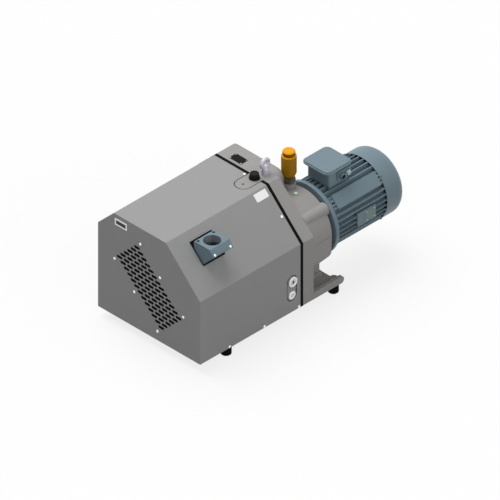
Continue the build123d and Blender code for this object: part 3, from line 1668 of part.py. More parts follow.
with BuildPart() as terminal_lid:
    with BuildSketch(Plane.XY.offset(lid_z)):
        with Locations((box_centre_x, drive_y)):
            RectangleRounded(*lid_size)
    extrude(amount=lid_lip)
    with BuildSketch(Plane.XY.offset(lid_z + lid_lip)):
        with Locations((box_centre_x, drive_y)):
            RectangleRounded(
                lid_size[0] - 2 * lid_border, lid_size[1] - 2 * lid_border, lid_size[2] - lid_border
            )
    extrude(amount=lid_crown)
    chamfer(terminal_lid.faces().sort_by(Axis.Z)[-1].edges(), lid_slant)
    with BuildSketch(Plane.XY.offset(lid_z)):
        with Locations(*lid_screw_places):
            Circle(lid_screw_radius)
    extrude(amount=lid_lip + lid_crown, mode=Mode.SUBTRACT)
    with BuildSketch(Plane.XY.offset(lid_top_z)):
        with Locations(*lid_screw_places):
            Circle(lid_screw_head + 1)
    extrude(amount=-lid_screw_height, mode=Mode.SUBTRACT)
write(terminal_lid, "terminal_lid")

with BuildPart() as lid_screws:
    for x, y in lid_screw_places:
        screw(
            facing(x, y, lid_top_z - lid_screw_height, (0, 0, 1)),
            lid_lip + lid_crown + lid_post_length / 2,
            lid_screw_radius,
            lid_screw_head,
            lid_screw_height,
        )
write(lid_screws, "lid_screws")

board_size = (56.0, 44.0)
board_height = 12.0
board_z = box_pad_z + box_wall
stud_radius = 2.5
stud_pitch = (16.0, 12.0)
stud_height = 20.0
stud_nut = (4.6, 4.0)
stud_places = [
    (box_centre_x + stud_pitch[0] * i, drive_y + stud_pitch[1] * j) for i in (-1, 0, 1) for j in (-1, 1)
]
with BuildPart() as terminal_board:
    with BuildSketch(Plane.XY.offset(board_z)):
        with Locations((box_centre_x, drive_y)):
            Rectangle(*board_size)
        with Locations(*stud_places):
            Circle(stud_radius, mode=Mode.SUBTRACT)
    extrude(amount=board_height)
write(terminal_board, "terminal_board")

with BuildPart() as terminal_studs:
    with BuildSketch(Plane.XY.offset(board_z)):
        with Locations(*stud_places):
            Circle(stud_radius)
    extrude(amount=stud_height)
    with BuildSketch(Plane.XY.offset(board_z + board_height)):
        with Locations(*stud_places):
            RegularPolygon(stud_nut[0], 6)
    extrude(amount=stud_nut[1])
write(terminal_studs, "terminal_studs")

gland_nut = (12.0, 6.0)
gland_dome = (10.0, 6.0)
cable_radius = 6.5
with BuildPart() as cable_glands:
    for x in gland_x:
        plane = facing(x, gland_face_y, gland_z, (0, -1, 0))
        with BuildSketch(plane) as nut:
            RegularPolygon(gland_nut[0], 6)
        extrude(nut.sketch, amount=gland_nut[1])
        with BuildSketch(plane.offset(-box_wall - gland_plate_depth)) as neck:
            Circle(gland_radius)
        extrude(neck.sketch, amount=box_wall + gland_plate_depth)
        with BuildSketch(plane.offset(gland_nut[1])) as dome:
            Circle(gland_dome[0])
        extrude(dome.sketch, amount=gland_dome[1])
    mouth_y = gland_face_y - gland_nut[1] - gland_dome[1]
    with BuildSketch(facing(gland_x[0], mouth_y, gland_z, (0, -1, 0))) as hole:
        Circle(cable_radius)
    extrude(hole.sketch, amount=mouth_y - gland_face_y - box_wall - gland_plate_depth, mode=Mode.SUBTRACT)
write(cable_glands, "cable_glands")
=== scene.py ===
import json
import math
from functools import partial

import bmesh
import bpy
from mathutils import Matrix, Vector


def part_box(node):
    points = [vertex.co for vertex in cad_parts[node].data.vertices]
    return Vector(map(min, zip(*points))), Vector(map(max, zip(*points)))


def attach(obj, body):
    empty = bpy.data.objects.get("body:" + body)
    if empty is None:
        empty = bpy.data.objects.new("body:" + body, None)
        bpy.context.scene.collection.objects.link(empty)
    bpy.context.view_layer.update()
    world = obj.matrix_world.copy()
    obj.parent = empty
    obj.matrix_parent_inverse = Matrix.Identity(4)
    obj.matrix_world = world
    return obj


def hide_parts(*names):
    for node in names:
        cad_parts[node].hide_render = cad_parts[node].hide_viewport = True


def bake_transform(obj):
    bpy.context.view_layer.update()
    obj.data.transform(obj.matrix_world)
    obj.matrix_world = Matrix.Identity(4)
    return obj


bl_info = {
    "name": "Claw Vacuum Pump",
    "version": (1, 0, 0),
    "blender": (4, 5, 0),
    "location": "3D View > Sidebar > Pump",
    "description": "Dresses the packed claw vacuum pump with its screws, castings, plates and finishes",
    "category": "Object",
}

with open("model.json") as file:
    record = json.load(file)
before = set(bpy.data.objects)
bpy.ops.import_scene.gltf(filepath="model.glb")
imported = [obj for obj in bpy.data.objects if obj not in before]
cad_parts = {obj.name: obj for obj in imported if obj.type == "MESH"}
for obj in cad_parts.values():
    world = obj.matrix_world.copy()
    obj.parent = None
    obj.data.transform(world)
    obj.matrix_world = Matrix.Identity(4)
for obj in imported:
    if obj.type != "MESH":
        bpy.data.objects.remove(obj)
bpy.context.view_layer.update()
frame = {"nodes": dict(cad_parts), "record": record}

# Places in the shared frame, in metres
FRONT_X = -0.4595  # front face of the cover
COVER_TOP_Z = 0.419  # flat top of the cover and the gear housing
SHAFT_Y = -0.091  # line of the drive shaft and the motor
SHAFT_Z = 0.221
FLANGE_X = 0.1375  # seat of the motor's flange
FLANGE_STEP = 0.0045  # how far its bolted rim is set back from that seat
SLOPE = Vector((0, -1, 1)).normalized()  # outwards from the slope of the cover
SLOPE_SUM = 0.492  # Z less Y all over that slope

MERGE = 1e-6  # corners of a CAD node's triangles closer than this are one
PAINT_GLOSS = 0.3  # specular level of a paint or plastic
METAL_GLOSS = 0.5


def mm(length):
    """Millimetres as metres."""
    return length / 1000


def linear(hex_colour):
    """An sRGB hex colour as linear red, green, blue and alpha."""
    channels = [int(hex_colour[i : i + 2], 16) / 255 for i in (0, 2, 4)]
    return tuple(c / 12.92 if c <= 0.04045 else ((c + 0.055) / 1.055) ** 2.4 for c in channels) + (1.0,)


def darker(colour, share):
    """A colour with its three channels scaled down."""
    return (colour[0] * share, colour[1] * share, colour[2] * share, 1.0)


def add_node(tree, kind, values=None, links=None, **settings):
    """Add one node, set its properties and input values, and link its inputs."""
    made = tree.nodes.new(kind)
    for name, value in settings.items():
        setattr(made, name, value)
    for socket, value in (values or {}).items():
        made.inputs[socket].default_value = value
    for socket, source in (links or {}).items():
        tree.links.new(source, made.inputs[socket])
    return made


def empty_tree(holder):
    """The node tree of a material or a world, with nothing in it."""
    holder.use_nodes = True
    holder.node_tree.nodes.clear()
    return holder.node_tree


def colour_choice(name, description, hex_colour):
    """A colour that a user can change."""
    return bpy.props.FloatVectorProperty(
        name=name, description=description, subtype="COLOR", size=4, default=linear(hex_colour), min=0, max=1
    )


def length_choice(name, description, default, least=0.0):
    """A length that a user can change."""
    return bpy.props.FloatProperty(
        name=name, description=description, unit="LENGTH", default=default, min=least
    )


def count_choice(name, description, default):
    """A number of flutes or ribs that a user can change."""
    return bpy.props.IntProperty(name=name, description=description, default=default, min=3)


def light_choice(name, description, default):
    """A light's strength that a user can change."""
    return bpy.props.FloatProperty(name=name, description=description, default=default, min=0)


class PumpColours(bpy.types.PropertyGroup):
    """Colours of the pump's paints and plastics."""

    cover: colour_choice("Cover", "Powder coat on the sheet-metal cover", "A3A3A3")
    casting: colour_choice("Castings", "Paint on the gear housing and base", "A7A5A3")
    motor: colour_choice("Motor", "Blue-grey paint on the motor and inlet block", "7A8F99")
    valve_cap: colour_choice("Relief cap", "Orange cap of the relief valve", "FFB214")
    valve_body: colour_choice("Relief body", "Ochre body of the relief valve", "B07C0C")
    lifting: colour_choice("Lifting eye", "Pale plated steel of the lifting eye", "DAD6E2")
    vent: colour_choice("Vent plug", "Pale green plastic of the vent plug", "DDF2DC")
    floor: colour_choice("Floor", "Pale floor under the pump", "FFFFFF")


class PumpSizes(bpy.types.PropertyGroup):
    """Sizes of the details that the finished pump gets."""

    casting_edge: length_choice("Casting edge", "Radius of a cast edge", mm(1.6))
    sheet_edge: length_choice("Sheet edge", "Radius of a cut sheet edge", mm(0.5))
    fin_edge: length_choice("Fin edge", "Radius of a motor fin's edge", mm(0.6))
    button_radius: length_choice("Cover screw head", "Radius of a cover screw's head", mm(5.0))
    button_height: length_choice("Cover screw height", "Height of a cover screw's head", mm(3.0))
    knob_flutes: count_choice("Knob flutes", "Finger flutes round the oil filler cap", 10)
    gland_ribs: count_choice("Gland ribs", "Grip ribs round a cable gland's dome", 20)
    thread_pitch: length_choice("Port thread pitch", "Pitch of the G 2 pipe thread", mm(2.309), mm(0.5))
    thread_depth: length_choice("Port thread depth", "Depth of the G 2 pipe thread", mm(1.2))


class PumpStage(bpy.types.PropertyGroup):
    """Floor, light and camera."""

    sun: light_choice("Key light", "Strength of the high soft light", 1.93)
    fill: light_choice("Fill light", "Strength of the low light on the right side", 0.62)
    sky: light_choice("Sky", "Strength of the even light all round", 0.31)
    view_width: length_choice("View width", "Width of the camera's view", 1.543, 0.1)


# Every finish: the real material, how its surface was made, and what that gives the eye. After its name come
# its tone (a colour of PumpColours, or sRGB), how bright its darker patches are and their size in
# millimetres, its lowest and highest roughness, the size and height of its surface texture in millimetres,
# how metallic it is, how strongly a surface that isn't metal mirrors what is round it, and how much longer
# its texture is along X, Y and Z.
FINISHES = (
    # powder coat on sheet steel: satin, with a fine orange-peel skin
    ("powder_coat", "cover", 0.94, 70, (0.46, 0.56), 1.6, 0.05),
    # paint on sand-cast aluminium: satin over a pebbled skin
    ("cast_paint", "casting", 0.92, 45, (0.5, 0.66), 2.6, 0.22),
    # paint on grey iron: a little duller and coarser than the housing's
    ("rail_paint", "casting", 0.9, 50, (0.52, 0.7), 3.0, 0.26),
    # two-part enamel on die-cast aluminium: smoother, with soft highlights
    ("motor_enamel", "motor", 0.9, 35, (0.36, 0.5), 1.9, 0.09),
    # the same enamel on deep-drawn sheet: nearly flat
    ("cowl_enamel", "motor", 0.93, 60, (0.34, 0.44), 1.4, 0.03),
    # machined grey iron: dark, with turning marks across the shafts
    ("machined_iron", "7C7B79", 0.8, 20, (0.34, 0.5), 1.0, 0.04, 0.9, None, (0.15, 1, 1)),
    # ground steel: bright, with fine lines round the shafts
    ("ground_steel", "B9BABC", 0.85, 18, (0.2, 0.34), 0.8, 0.02, 1.0, None, (0.1, 1, 1)),
    # galvanised sheet: dull bright with a spangle
    ("galvanised_sheet", "B4B7B8", 0.8, 9, (0.3, 0.46), 6.0, 0.01, 1.0),
    # laminated electrical steel: dark edges of thin sheets stacked along the shaft
    ("laminations", "8C8E90", 0.55, 1.2, (0.4, 0.55), 1.2, 0.05, 0.9, None, (0.08, 1, 1)),
    # zinc-plated screws: bright and slightly cloudy
    ("zinc_plate", "F2F4F6", 0.94, 3, (0.2, 0.3), 0.7, 0.01, 0.85),
    # plated drop-forged eye: pale with a blasted skin
    ("forged_plate", "lifting", 0.9, 8, (0.36, 0.5), 1.1, 0.06, 0.35),
    # anodised aluminium plugs: silky and pale
    ("anodised_plug", "EDF0F1", 0.93, 6, (0.28, 0.38), 0.6, 0.01, 0.6),
    # brass: warm, turned round the upright axis
    ("turned_brass", "B8903C", 0.86, 10, (0.24, 0.36), 0.7, 0.03, 1.0, None, (1, 1, 0.12)),
    # ochre lacquer on the valve body: glossy over turning marks
    ("ochre_lacquer", "valve_body", 0.84, 14, (0.3, 0.4), 0.9, 0.03, 0.0, 0.15, (1, 1, 0.15)),
    # orange moulded cap: even and glossy; on the valve body's top chamfer it is a painted highlight
    ("orange_cap", "valve_cap", 0.94, 20, (0.26, 0.34), 1.2, 0.02, 0.0, 0.12),
    # black rubber: matt, slightly dusty; the same black is painted shade in the gaps round the side plugs and
    # the inlet block
    ("moulded_rubber", "1B1B1C", 0.65, 12, (0.66, 0.85), 0.8, 0.04, 0.0, 0.03),
    # black glass-filled plastic: dull with a fine spark texture
    ("moulded_nylon", "1C1C1D", 0.7, 16, (0.42, 0.56), 0.6, 0.05, 0.0, 0.04),
    # grey moulded plastic of the cable glands: smooth, with a faint sheen
    ("gland_nylon", "6F848E", 0.86, 10, (0.38, 0.5), 0.6, 0.03),
    # pale green polyethylene plug: waxy
    ("vent_plastic", "vent", 0.92, 8, (0.3, 0.4), 0.9, 0.02),
    # plated nut under the relief valve: dull and brownish
    ("dull_plate", "6F6B58", 0.8, 6, (0.4, 0.55), 0.8, 0.02, 0.5),
    # enamelled copper wire, wound round the stator's ends: fine strands side by side
    ("enamelled_copper", "A4552E", 0.6, 5, (0.3, 0.42), 1.4, 0.3, 0.4, None, (3, 1, 1)),
    # open-cell foam of the intake filter: dark and porous
    ("filter_foam", "1E1E1F", 0.25, 2.0, (0.85, 0.95), 2.2, 0.9, 0.0, 0.05),
    # bare label stock, white over a metal foil: it stays bright when it faces away from the light
    ("white_label", "EAEAEA", 0.97, 12, (0.4, 0.5), 0.5, 0.005, 0.6),
    # black anodised plate, bare: flat, with a faint sheen
    ("black_plate", "222223", 0.85, 10, (0.32, 0.42), 0.5, 0.01, 0.0, 0.03),
    # dark printed field of the front badge, bare: flat and even
    ("badge_field", "565657", 0.92, 10, (0.28, 0.36), 0.5, 0.005, 0.0, 0.1),
    # oil seen through the sight glass: dark and wet
    ("sight_oil", "2E2A22", 0.8, 6, (0.08, 0.14), 6.0, 0.01),
    # white enamelled reflector behind the sight glass: bright under the polished window
    ("sight_reflector", "F6F8F7", 0.97, 6, (0.1, 0.16), 4.0, 0.004, 0.0, 0.5),
    # charcoal moulded grip of the filler knob: a little lighter than its collar
    ("knob_plastic", "2A2A2C", 0.75, 8, (0.4, 0.55), 0.6, 0.05, 0.0, 0.05),
    # walls of the grille's slots: a dark grey that is painted shade deep in each slot
    ("slot_edge", "262626", 0.8, 10, (0.5, 0.6), 1.0, 0.02, 0.0, 0.01),
    # side of the relief cap: the same orange moulding as its top, painted in a darker ochre as its shade
    ("ochre_cap_side", "8E640E", 0.85, 12, (0.3, 0.4), 1.0, 0.02, 0.0, 0.1),
    # green moulded collar round the vent's pale button: satin
    ("vent_collar", "93AD90", 0.9, 8, (0.34, 0.44), 0.9, 0.02),
    # nickel-plated blanking plug beside the cable gland: bright and greyish
    ("gland_metal", "9FB0B8", 0.88, 6, (0.24, 0.34), 0.7, 0.01, 0.5),
    # etched aluminium nameplate under a green-grey tint, bare: flat and silky
    ("motor_plate", "7F9690", 0.93, 14, (0.34, 0.44), 0.5, 0.005),
    # cut aluminium inside a port, painted dark grey for the shade deep in the bore, with tool lines along the
    # thread
    ("bare_aluminium_bore", "5E666B", 0.8, 8, (0.34, 0.46), 0.7, 0.02, 0.5),
)


def make_finish(name, tone, shade, mottle, rough, grain, depth, metallic=0.0, gloss=None, stretch=(1, 1, 1)):
    """One procedural finish: two close colours in patches, worn roughness, and the surface's own grain."""
    node = partial(add_node, empty_tree(bpy.data.materials.new(name)))
    place = node("ShaderNodeTexCoord").outputs["Object"]
    lie = node("ShaderNodeMapping", {"Scale": tuple(1 / s for s in stretch)}, {"Vector": place}).outputs[0]
    noise = "ShaderNodeTexNoise"
    patches = node(noise, {"Scale": 1000 / mottle, "Detail": 5.0, "Roughness": 0.6}, {"Vector": lie})
    colour = node(
        "ShaderNodeMix", {6: darker(tone, shade), 7: tone}, {0: patches.outputs["Fac"]}, data_type="RGBA"
    )
    # Rubbed spots are about a third as large as the patches of colour
    rubbed = node(noise, {"Scale": 1000 / (mottle * 0.35), "Detail": 3.0}, {"Vector": lie})
    ends = {"From Min": 0.3, "From Max": 0.7, "To Min": rough[0], "To Max": rough[1]}
    roughness = node("ShaderNodeMapRange", ends, {"Value": rubbed.outputs["Fac"]})
    skin = node(noise, {"Scale": 1000 / grain, "Detail": 2.0, "Roughness": 0.5}, {"Vector": lie})
    raised = node("ShaderNodeBump", {"Strength": 1.0, "Distance": mm(depth)}, {"Height": skin.outputs["Fac"]})
    level = gloss or (METAL_GLOSS if metallic else PAINT_GLOSS)
    surface = node(
        "ShaderNodeBsdfPrincipled", {"Metallic": metallic, "Specular IOR Level": level},
        {"Base Color": colour.outputs[2], "Roughness": roughness.outputs[0], "Normal": raised.outputs[0]},
    )
    node("ShaderNodeOutputMaterial", links={"Surface": surface.outputs[0]})


# The finish of each CAD node, also of those that a piece stands for
NODE_FINISH = {
    "powder_coat": ["acoustic_cover"],
    "cast_paint": ["gear_housing"],
    "rail_paint": ["base_frame"],
    "motor_enamel": [
        "motor_frame", "motor_front_shield", "motor_rear_shield", "terminal_box", "terminal_lid",
        "inlet_block",
    ],
    "cowl_enamel": ["fan_cowl"],
    "machined_iron": ["cylinder", "front_plate", "intermediate_plate", "drive_claw", "driven_claw"],
    "ground_steel": [
        "drive_shaft", "driven_shaft", "drive_gear", "driven_gear", "motor_shaft", "shaft_bearings",
        "motor_bearings", "bearing_caps", "pump_coupling_hub", "motor_coupling_hub", "rotor",
        "inlet_valve_spring", "relief_spring",
    ],
    "laminations": ["stator"],
    "galvanised_sheet": ["silencer", "fan_shroud", "filter_frame"],
    "zinc_plate": ["cover_screws", "block_screws", "foot_screws", "flange_bolts", "lid_screws"],
    "forged_plate": ["eyebolt", "lifting_post"],
    "anodised_plug": ["sight_glass", "drain_plug", "inlet_valve_disc"],
    "turned_brass": ["relief_nipple", "relief_poppet", "terminal_studs"],
    "enamelled_copper": ["windings"],
    "ochre_lacquer": ["relief_valve_body"],
    "orange_cap": ["relief_valve_cap"],
    "moulded_rubber": ["rubber_feet", "cover_seal", "coupling_spider", "shaft_seals"],
    "moulded_nylon": ["oil_filler_cap", "cooling_fan", "motor_fan", "terminal_board"],
    "gland_nylon": ["cable_glands"],
    "vent_plastic": ["vent_plug"],
    "filter_foam": ["intake_filter"],
}


def add_object(name, data):
    """A new object in the scene."""
    made = bpy.data.objects.new(name, data)
    bpy.context.scene.collection.objects.link(made)
    return made


def smooth_by_angle(mesh, degrees):
    """Shade a mesh smooth, apart from edges sharper than this."""
    mesh.shade_smooth()
    mesh.set_sharp_from_angle(angle=math.radians(degrees))


def declare(piece, node=None, body="pump_body"):
    """Give a piece its body, unless it has none, and hide the CAD node that it stands for."""
    if body:
        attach(piece, body)
    if node:
        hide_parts(node)
    return piece


def add_piece(name, made, finishes, node=None, body="pump_body", smooth=35):
    """Turn a bmesh into a declared piece, with its finishes in order."""
    mesh = bpy.data.meshes.new(name)
    made.to_mesh(mesh)
    made.free()
    if mesh.has_custom_normals:
        mesh.attributes.remove(mesh.attributes["custom_normal"])
    for finish in finishes:
        mesh.materials.append(bpy.data.materials[finish])
    smooth_by_angle(mesh, smooth)
    return declare(add_object(name, mesh), node, body)


def freeze(piece):
    """Make a piece's modifiers part of its mesh."""
    view = bpy.context.evaluated_depsgraph_get()
    piece_now = piece.evaluated_get(view)
    mesh = bpy.data.meshes.new_from_object(piece_now, preserve_all_data_layers=True, depsgraph=view)
    piece.modifiers.clear()
    piece.data = mesh
    return mesh


def node_mesh(node):
    """A CAD node's mesh as a bmesh, its loose triangles merged."""
    made = bmesh.new()
    made.from_mesh(frame["nodes"][node].data)
    bmesh.ops.remove_doubles(made, verts=made.verts, dist=MERGE)
    return made


def soften_node(node, name, radius, finishes, second=None, reshape=None):
    """A copy of a CAD node with rounded edges, which stands for it.

    second says which faces get the second finish, and reshape moves corners before the rounding.
    """
    made = node_mesh(node)
    if reshape:
        for spot in made.verts:
            spot.co = reshape(spot.co)
    bmesh.ops.dissolve_limit(made, angle_limit=math.radians(0.5), verts=made.verts, edges=made.edges)
    if second:
        for face in made.faces:
            face.material_index = int(second(face.calc_center_median(), face.normal))
    piece = add_piece(name, made, finishes, node, smooth=180)
    rounding = piece.modifiers.new("rounding", "BEVEL")
    rounding.width = radius
    rounding.segments = 2
    rounding.limit_method = "ANGLE"
    rounding.angle_limit = math.radians(30)
    rounding.use_clamp_overlap = True
    rounding.harden_normals = True
    freeze(piece)
    return piece


def loft(made, place, rings, steps=48, finish=0):
    """Skin of rings round the place's Z axis, in millimetres: a height and a radius, or a radius by angle."""
    before = None
    for height, radius in rings:
        if radius == 0:
            ring = [made.verts.new(place @ Vector((0, 0, mm(height))))]
        else:
            ring = []
            for k in range(steps):
                angle = 2 * math.pi * k / steps
                reach = mm(radius(angle) if callable(radius) else radius)
                spot = Vector((reach * math.cos(angle), reach * math.sin(angle), mm(height)))
                ring.append(made.verts.new(place @ spot))
        if before:
            for k in range(steps):
                # A ring of one corner, on the axis, closes the skin with triangles
                pairs = (before, k), (before, (k + 1) % steps), (ring, (k + 1) % steps), (ring, k)
                distinct = list(dict.fromkeys(row[i % len(row)] for row, i in pairs))
                if len(distinct) > 2:
                    made.faces.new(distinct).material_index = finish
        before = ring
    return made


def bridge(made, low, high, finish=0):
    """Band of faces between two closed rows of as many corners."""
    for k in range(len(low)):
        after = (k + 1) % len(low)
        made.faces.new((low[k], low[after], high[after], high[k])).material_index = finish


def bridge_round(made, rows):
    """Closed tube of bands through these rows and back to the first."""
    for row, following in zip(rows, rows[1:] + rows[:1]):
        bridge(made, row, following)


def polygon(apothem, sides):
    """Radius by angle of a regular polygon with this half width across its flats."""
    return lambda angle: apothem / math.cos(angle % (2 * math.pi / sides) - math.pi / sides)


def fluted(radius, depth, count, sharpness=2):
    """Radius by angle of a round grip with this many hollows in it."""
    return lambda angle: radius - depth * (0.5 + 0.5 * math.cos(count * angle)) ** sharpness


def ring_tube(made, place, radius, wire, around=72, across=24):
    """Round ring of round wire about the place's Z axis, in millimetres."""
    rows = []
    for i in range(around):
        turn = 2 * math.pi * i / around
        row = []
        for j in range(across):
            lean = 2 * math.pi * j / across
            reach = mm(radius + wire * math.cos(lean))
            spot = Vector((reach * math.cos(turn), reach * math.sin(turn), mm(wire * math.sin(lean))))
            row.append(made.verts.new(place @ spot))
        rows.append(row)
    bridge_round(made, rows)


def stadium(radius, x, heights, y, steps=24):
    """Corners of an upright slot outline: a half circle over and under two centres, radius in millimetres."""
    spots = []
    for centre, first in ((heights[1], 0), (heights[0], math.pi)):
        for k in range(steps + 1):
            angle = first + math.pi * k / steps
            spots.append(Vector((x + mm(radius) * math.cos(angle), y, centre + mm(radius) * math.sin(angle))))
    return spots


def corners(node):
    """A CAD node's lowest and highest corners, and its middle."""
    low, high = (Vector(corner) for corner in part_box(node))
    return low, high, (low + high) / 2


def stand(x, y, z, normal=(0, 0, 1)):
    """Place whose Z axis is this normal."""
    turned = Vector(normal).to_track_quat("Z", "Y").to_matrix().to_4x4()
    return Matrix.Translation((x, y, z)) @ turned


def lifted(place, height):
    """The same place, this many millimetres up its own Z axis."""
    return place @ Matrix.Translation((0, 0, mm(height)))


def outward(made):
    """Merge doubled corners and turn every face outwards."""
    bmesh.ops.remove_doubles(made, verts=made.verts, dist=1e-7)
    bmesh.ops.recalc_face_normals(made, faces=made.faces)
    return made


def plate(made, place, width, height, thickness, corner, finish=0, edge=0.3, steps=6):
    """Flat plate with rounded corners and a small edge round, lying on its place, in millimetres."""
    width, height, thickness, corner, edge = (mm(size) for size in (width, height, thickness, corner, edge))
    across, along = width / 2 - corner, height / 2 - corner
    outline = []
    for x, y, first in (
        (across, along, 0.0), (-across, along, 0.5), (-across, -along, 1.0), (across, -along, 1.5),
    ):
        for k in range(steps + 1):
            angle = math.pi * (first + 0.5 * k / steps)
            outline.append((x, y, math.cos(angle), math.sin(angle)))
    levels = [(0.0, corner), (thickness - edge, corner), (thickness, corner - edge)]
    rows = [
        [made.verts.new(place @ Vector((x + r * c, y + r * s, z))) for x, y, c, s in outline]
        for z, r in levels
    ]
    for low, high in zip(rows, rows[1:]):
        bridge(made, low, high, finish)
    for cap in (rows[-1], list(reversed(rows[0]))):
        made.faces.new(cap).material_index = finish


def start_group(name, inputs):
    """A geometry node tree with these inputs: what adds a node to it, and its input node's sockets."""
    tree = bpy.data.node_groups.new(name, "GeometryNodeTree")
    tree.is_modifier = True
    for label, kind in inputs.items():
        tree.interface.new_socket(label, in_out="INPUT", socket_type="NodeSocket" + kind)
    tree.interface.new_socket("Geometry", in_out="OUTPUT", socket_type="NodeSocketGeometry")
    node = partial(add_node, tree)
    return tree, node, node("NodeGroupInput").outputs


def end_group(node, given, geometry):
    """Make the tree's instances real, give them the finish, and put them out."""
    solid = node("GeometryNodeRealizeInstances", links={"Geometry": geometry}).outputs[0]
    coated = node("GeometryNodeSetMaterial", links={"Geometry": solid, "Material": given["Finish"]})
    node("NodeGroupOutput", links={"Geometry": coated.outputs[0]})


def grow(name, mesh, tree, inputs):
    """Run a geometry node tree on a mesh, with these inputs, and keep the result as a plain mesh."""
    made = add_object(name, mesh)
    modifier = made.modifiers.new("grow", "NODES")
    modifier.node_group = tree
    for item in tree.interface.items_tree:
        if item.in_out == "INPUT" and item.name in inputs:
            modifier[item.identifier] = inputs[item.name]
    freeze(made)
    return made


def screw_tree():
    """Geometry nodes that stand one screw on each point, turned to its facing and a little about itself."""
    inputs = {"Points": "Geometry", "Screw": "Object", "Turn Seed": "Int", "Scale": "Float"}
    inputs["Finish"] = "Material"
    tree, node, given = start_group("place_screws", inputs)
    shape = node("GeometryNodeObjectInfo", links={"Object": given["Screw"]}).outputs["Geometry"]
    facing = node("GeometryNodeInputNamedAttribute", {"Name": "facing"}, data_type="FLOAT_VECTOR")
    away = facing.outputs["Attribute"]
    upright = node("FunctionNodeAlignRotationToVector", links={"Vector": away}, axis="Z")
    turn = node(
        "FunctionNodeRandomValue", {2: 0.0, 3: math.pi / 3}, {"Seed": given["Turn Seed"]}, data_type="FLOAT"
    )
    spin = node("FunctionNodeAxisAngleToRotation", {"Axis": (0, 0, 1)}, {"Angle": turn.outputs[1]})
    both = {"Rotation": upright.outputs[0], "Rotate By": spin.outputs[0]}
    lean = node("FunctionNodeRotateRotation", links=both, rotation_space="LOCAL").outputs[0]
    spread = node(
        "GeometryNodeInstanceOnPoints",
        links={"Points": given["Points"], "Instance": shape, "Rotation": lean, "Scale": given["Scale"]},
    )
    end_group(node, given, spread.outputs[0])
    return tree


def place_screws(
    name, shape, places, node=None, finish="zinc_plate", seed=1, lift=0.0
):
    """A group of like screws on their seats, or this far off them, for a CAD node where it has one."""
    tree = bpy.data.node_groups.get("place_screws") or screw_tree()
    blank_mesh = bpy.data.meshes.new(name + "_blank")
    outward(shape).to_mesh(blank_mesh)
    shape.free()
    blank = bpy.data.objects.new(name + "_blank", blank_mesh)
    points = bpy.data.meshes.new(name)
    points.from_pydata([Vector(spot) + Vector(normal) * mm(lift) for spot, normal in places], [], [])
    facing = points.attributes.new("facing", "FLOAT_VECTOR", "POINT")
    facing.data.foreach_set("vector", [c for _, normal in places for c in normal])
    inputs = {"Screw": blank, "Turn Seed": seed, "Scale": 1.0, "Finish": bpy.data.materials[finish]}
    group = grow(name, points, tree, inputs)
    smooth_by_angle(group.data, 35)
    bpy.data.objects.remove(blank)
    return declare(group, node)


def screw_seats(node, facing, head):
    """Seat and facing of each screw of a CAD node: its head's end, less the head's height in millimetres.

    facing is the way that the screws face, or gives it for a screw's middle.
    """
    made = node_mesh(node)
    waiting = set(made.verts)
    seats = []
    while waiting:
        stack = [waiting.pop()]
        solid = []
        while stack:
            corner = stack.pop()
            solid.append(corner.co.copy())
            for edge in corner.link_edges:
                other = edge.other_vert(corner)
                if other in waiting:
                    waiting.discard(other)
                    stack.append(other)
        middle = sum(solid, Vector()) / len(solid)
        normal = Vector(facing(middle) if callable(facing) else facing).normalized()
        end = max(spot.dot(normal) for spot in solid)
        top = [spot for spot in solid if spot.dot(normal) > end - mm(0.01)]
        seats.append((tuple(sum(top, Vector()) / len(top) - normal * mm(head)), tuple(normal)))
    made.free()
    # Rounded, so that the order of like places doesn't hang on how the corners were summed
    return sorted(seats, key=lambda seat: [round(c, 5) for c in seat[0]])


def screw_shape(dome, socket, socket_depth, shank_radius, shank_length):
    """A turned head from the seat up, with a hexagon socket in its top, on its shank."""
    top = dome[-1][0]
    rings = [(-shank_length, 0), (-shank_length, shank_radius), (0.0, shank_radius)] + dome
    rings += [(top, polygon(socket, 6)), (top - socket_depth, polygon(socket * 0.97, 6))]
    rings.append((top - socket_depth * 1.2, 0))
    return loft(bmesh.new(), Matrix.Identity(4), rings, steps=36)


def button_head(radius, height, socket):
    """Heights and radii of a domed head with a flat top round its socket."""
    flat = socket * 1.3
    dome = [(0.0, radius * 0.97), (height * 0.06, radius), (height * 0.25, radius)]
    for k in range(1, 7):
        part = k / 6 * math.pi / 2
        dome.append((height * (0.25 + 0.75 * math.sin(part)), flat + (radius - flat) * math.cos(part)))
    return dome


def hex_screw(apothem, height, washer_radius, washer_height, shank_radius, shank_length):
    """Hexagon head with a turned chamfer, on a washer and its shank."""
    chamfer = 0.3
    corner = polygon(apothem, 6)
    rings = [
        (-shank_length, 0), (-shank_length, shank_radius), (0.0, shank_radius),
        (0.0, washer_radius - chamfer), (chamfer, washer_radius),
        (washer_height - chamfer, washer_radius), (washer_height, washer_radius - chamfer),
        (washer_height, corner), (height - apothem * 0.16, corner),
        (height, apothem * 0.93), (height, apothem * 0.5), (height - 0.4, 0),
    ]
    return loft(bmesh.new(), Matrix.Identity(4), rings, steps=48)


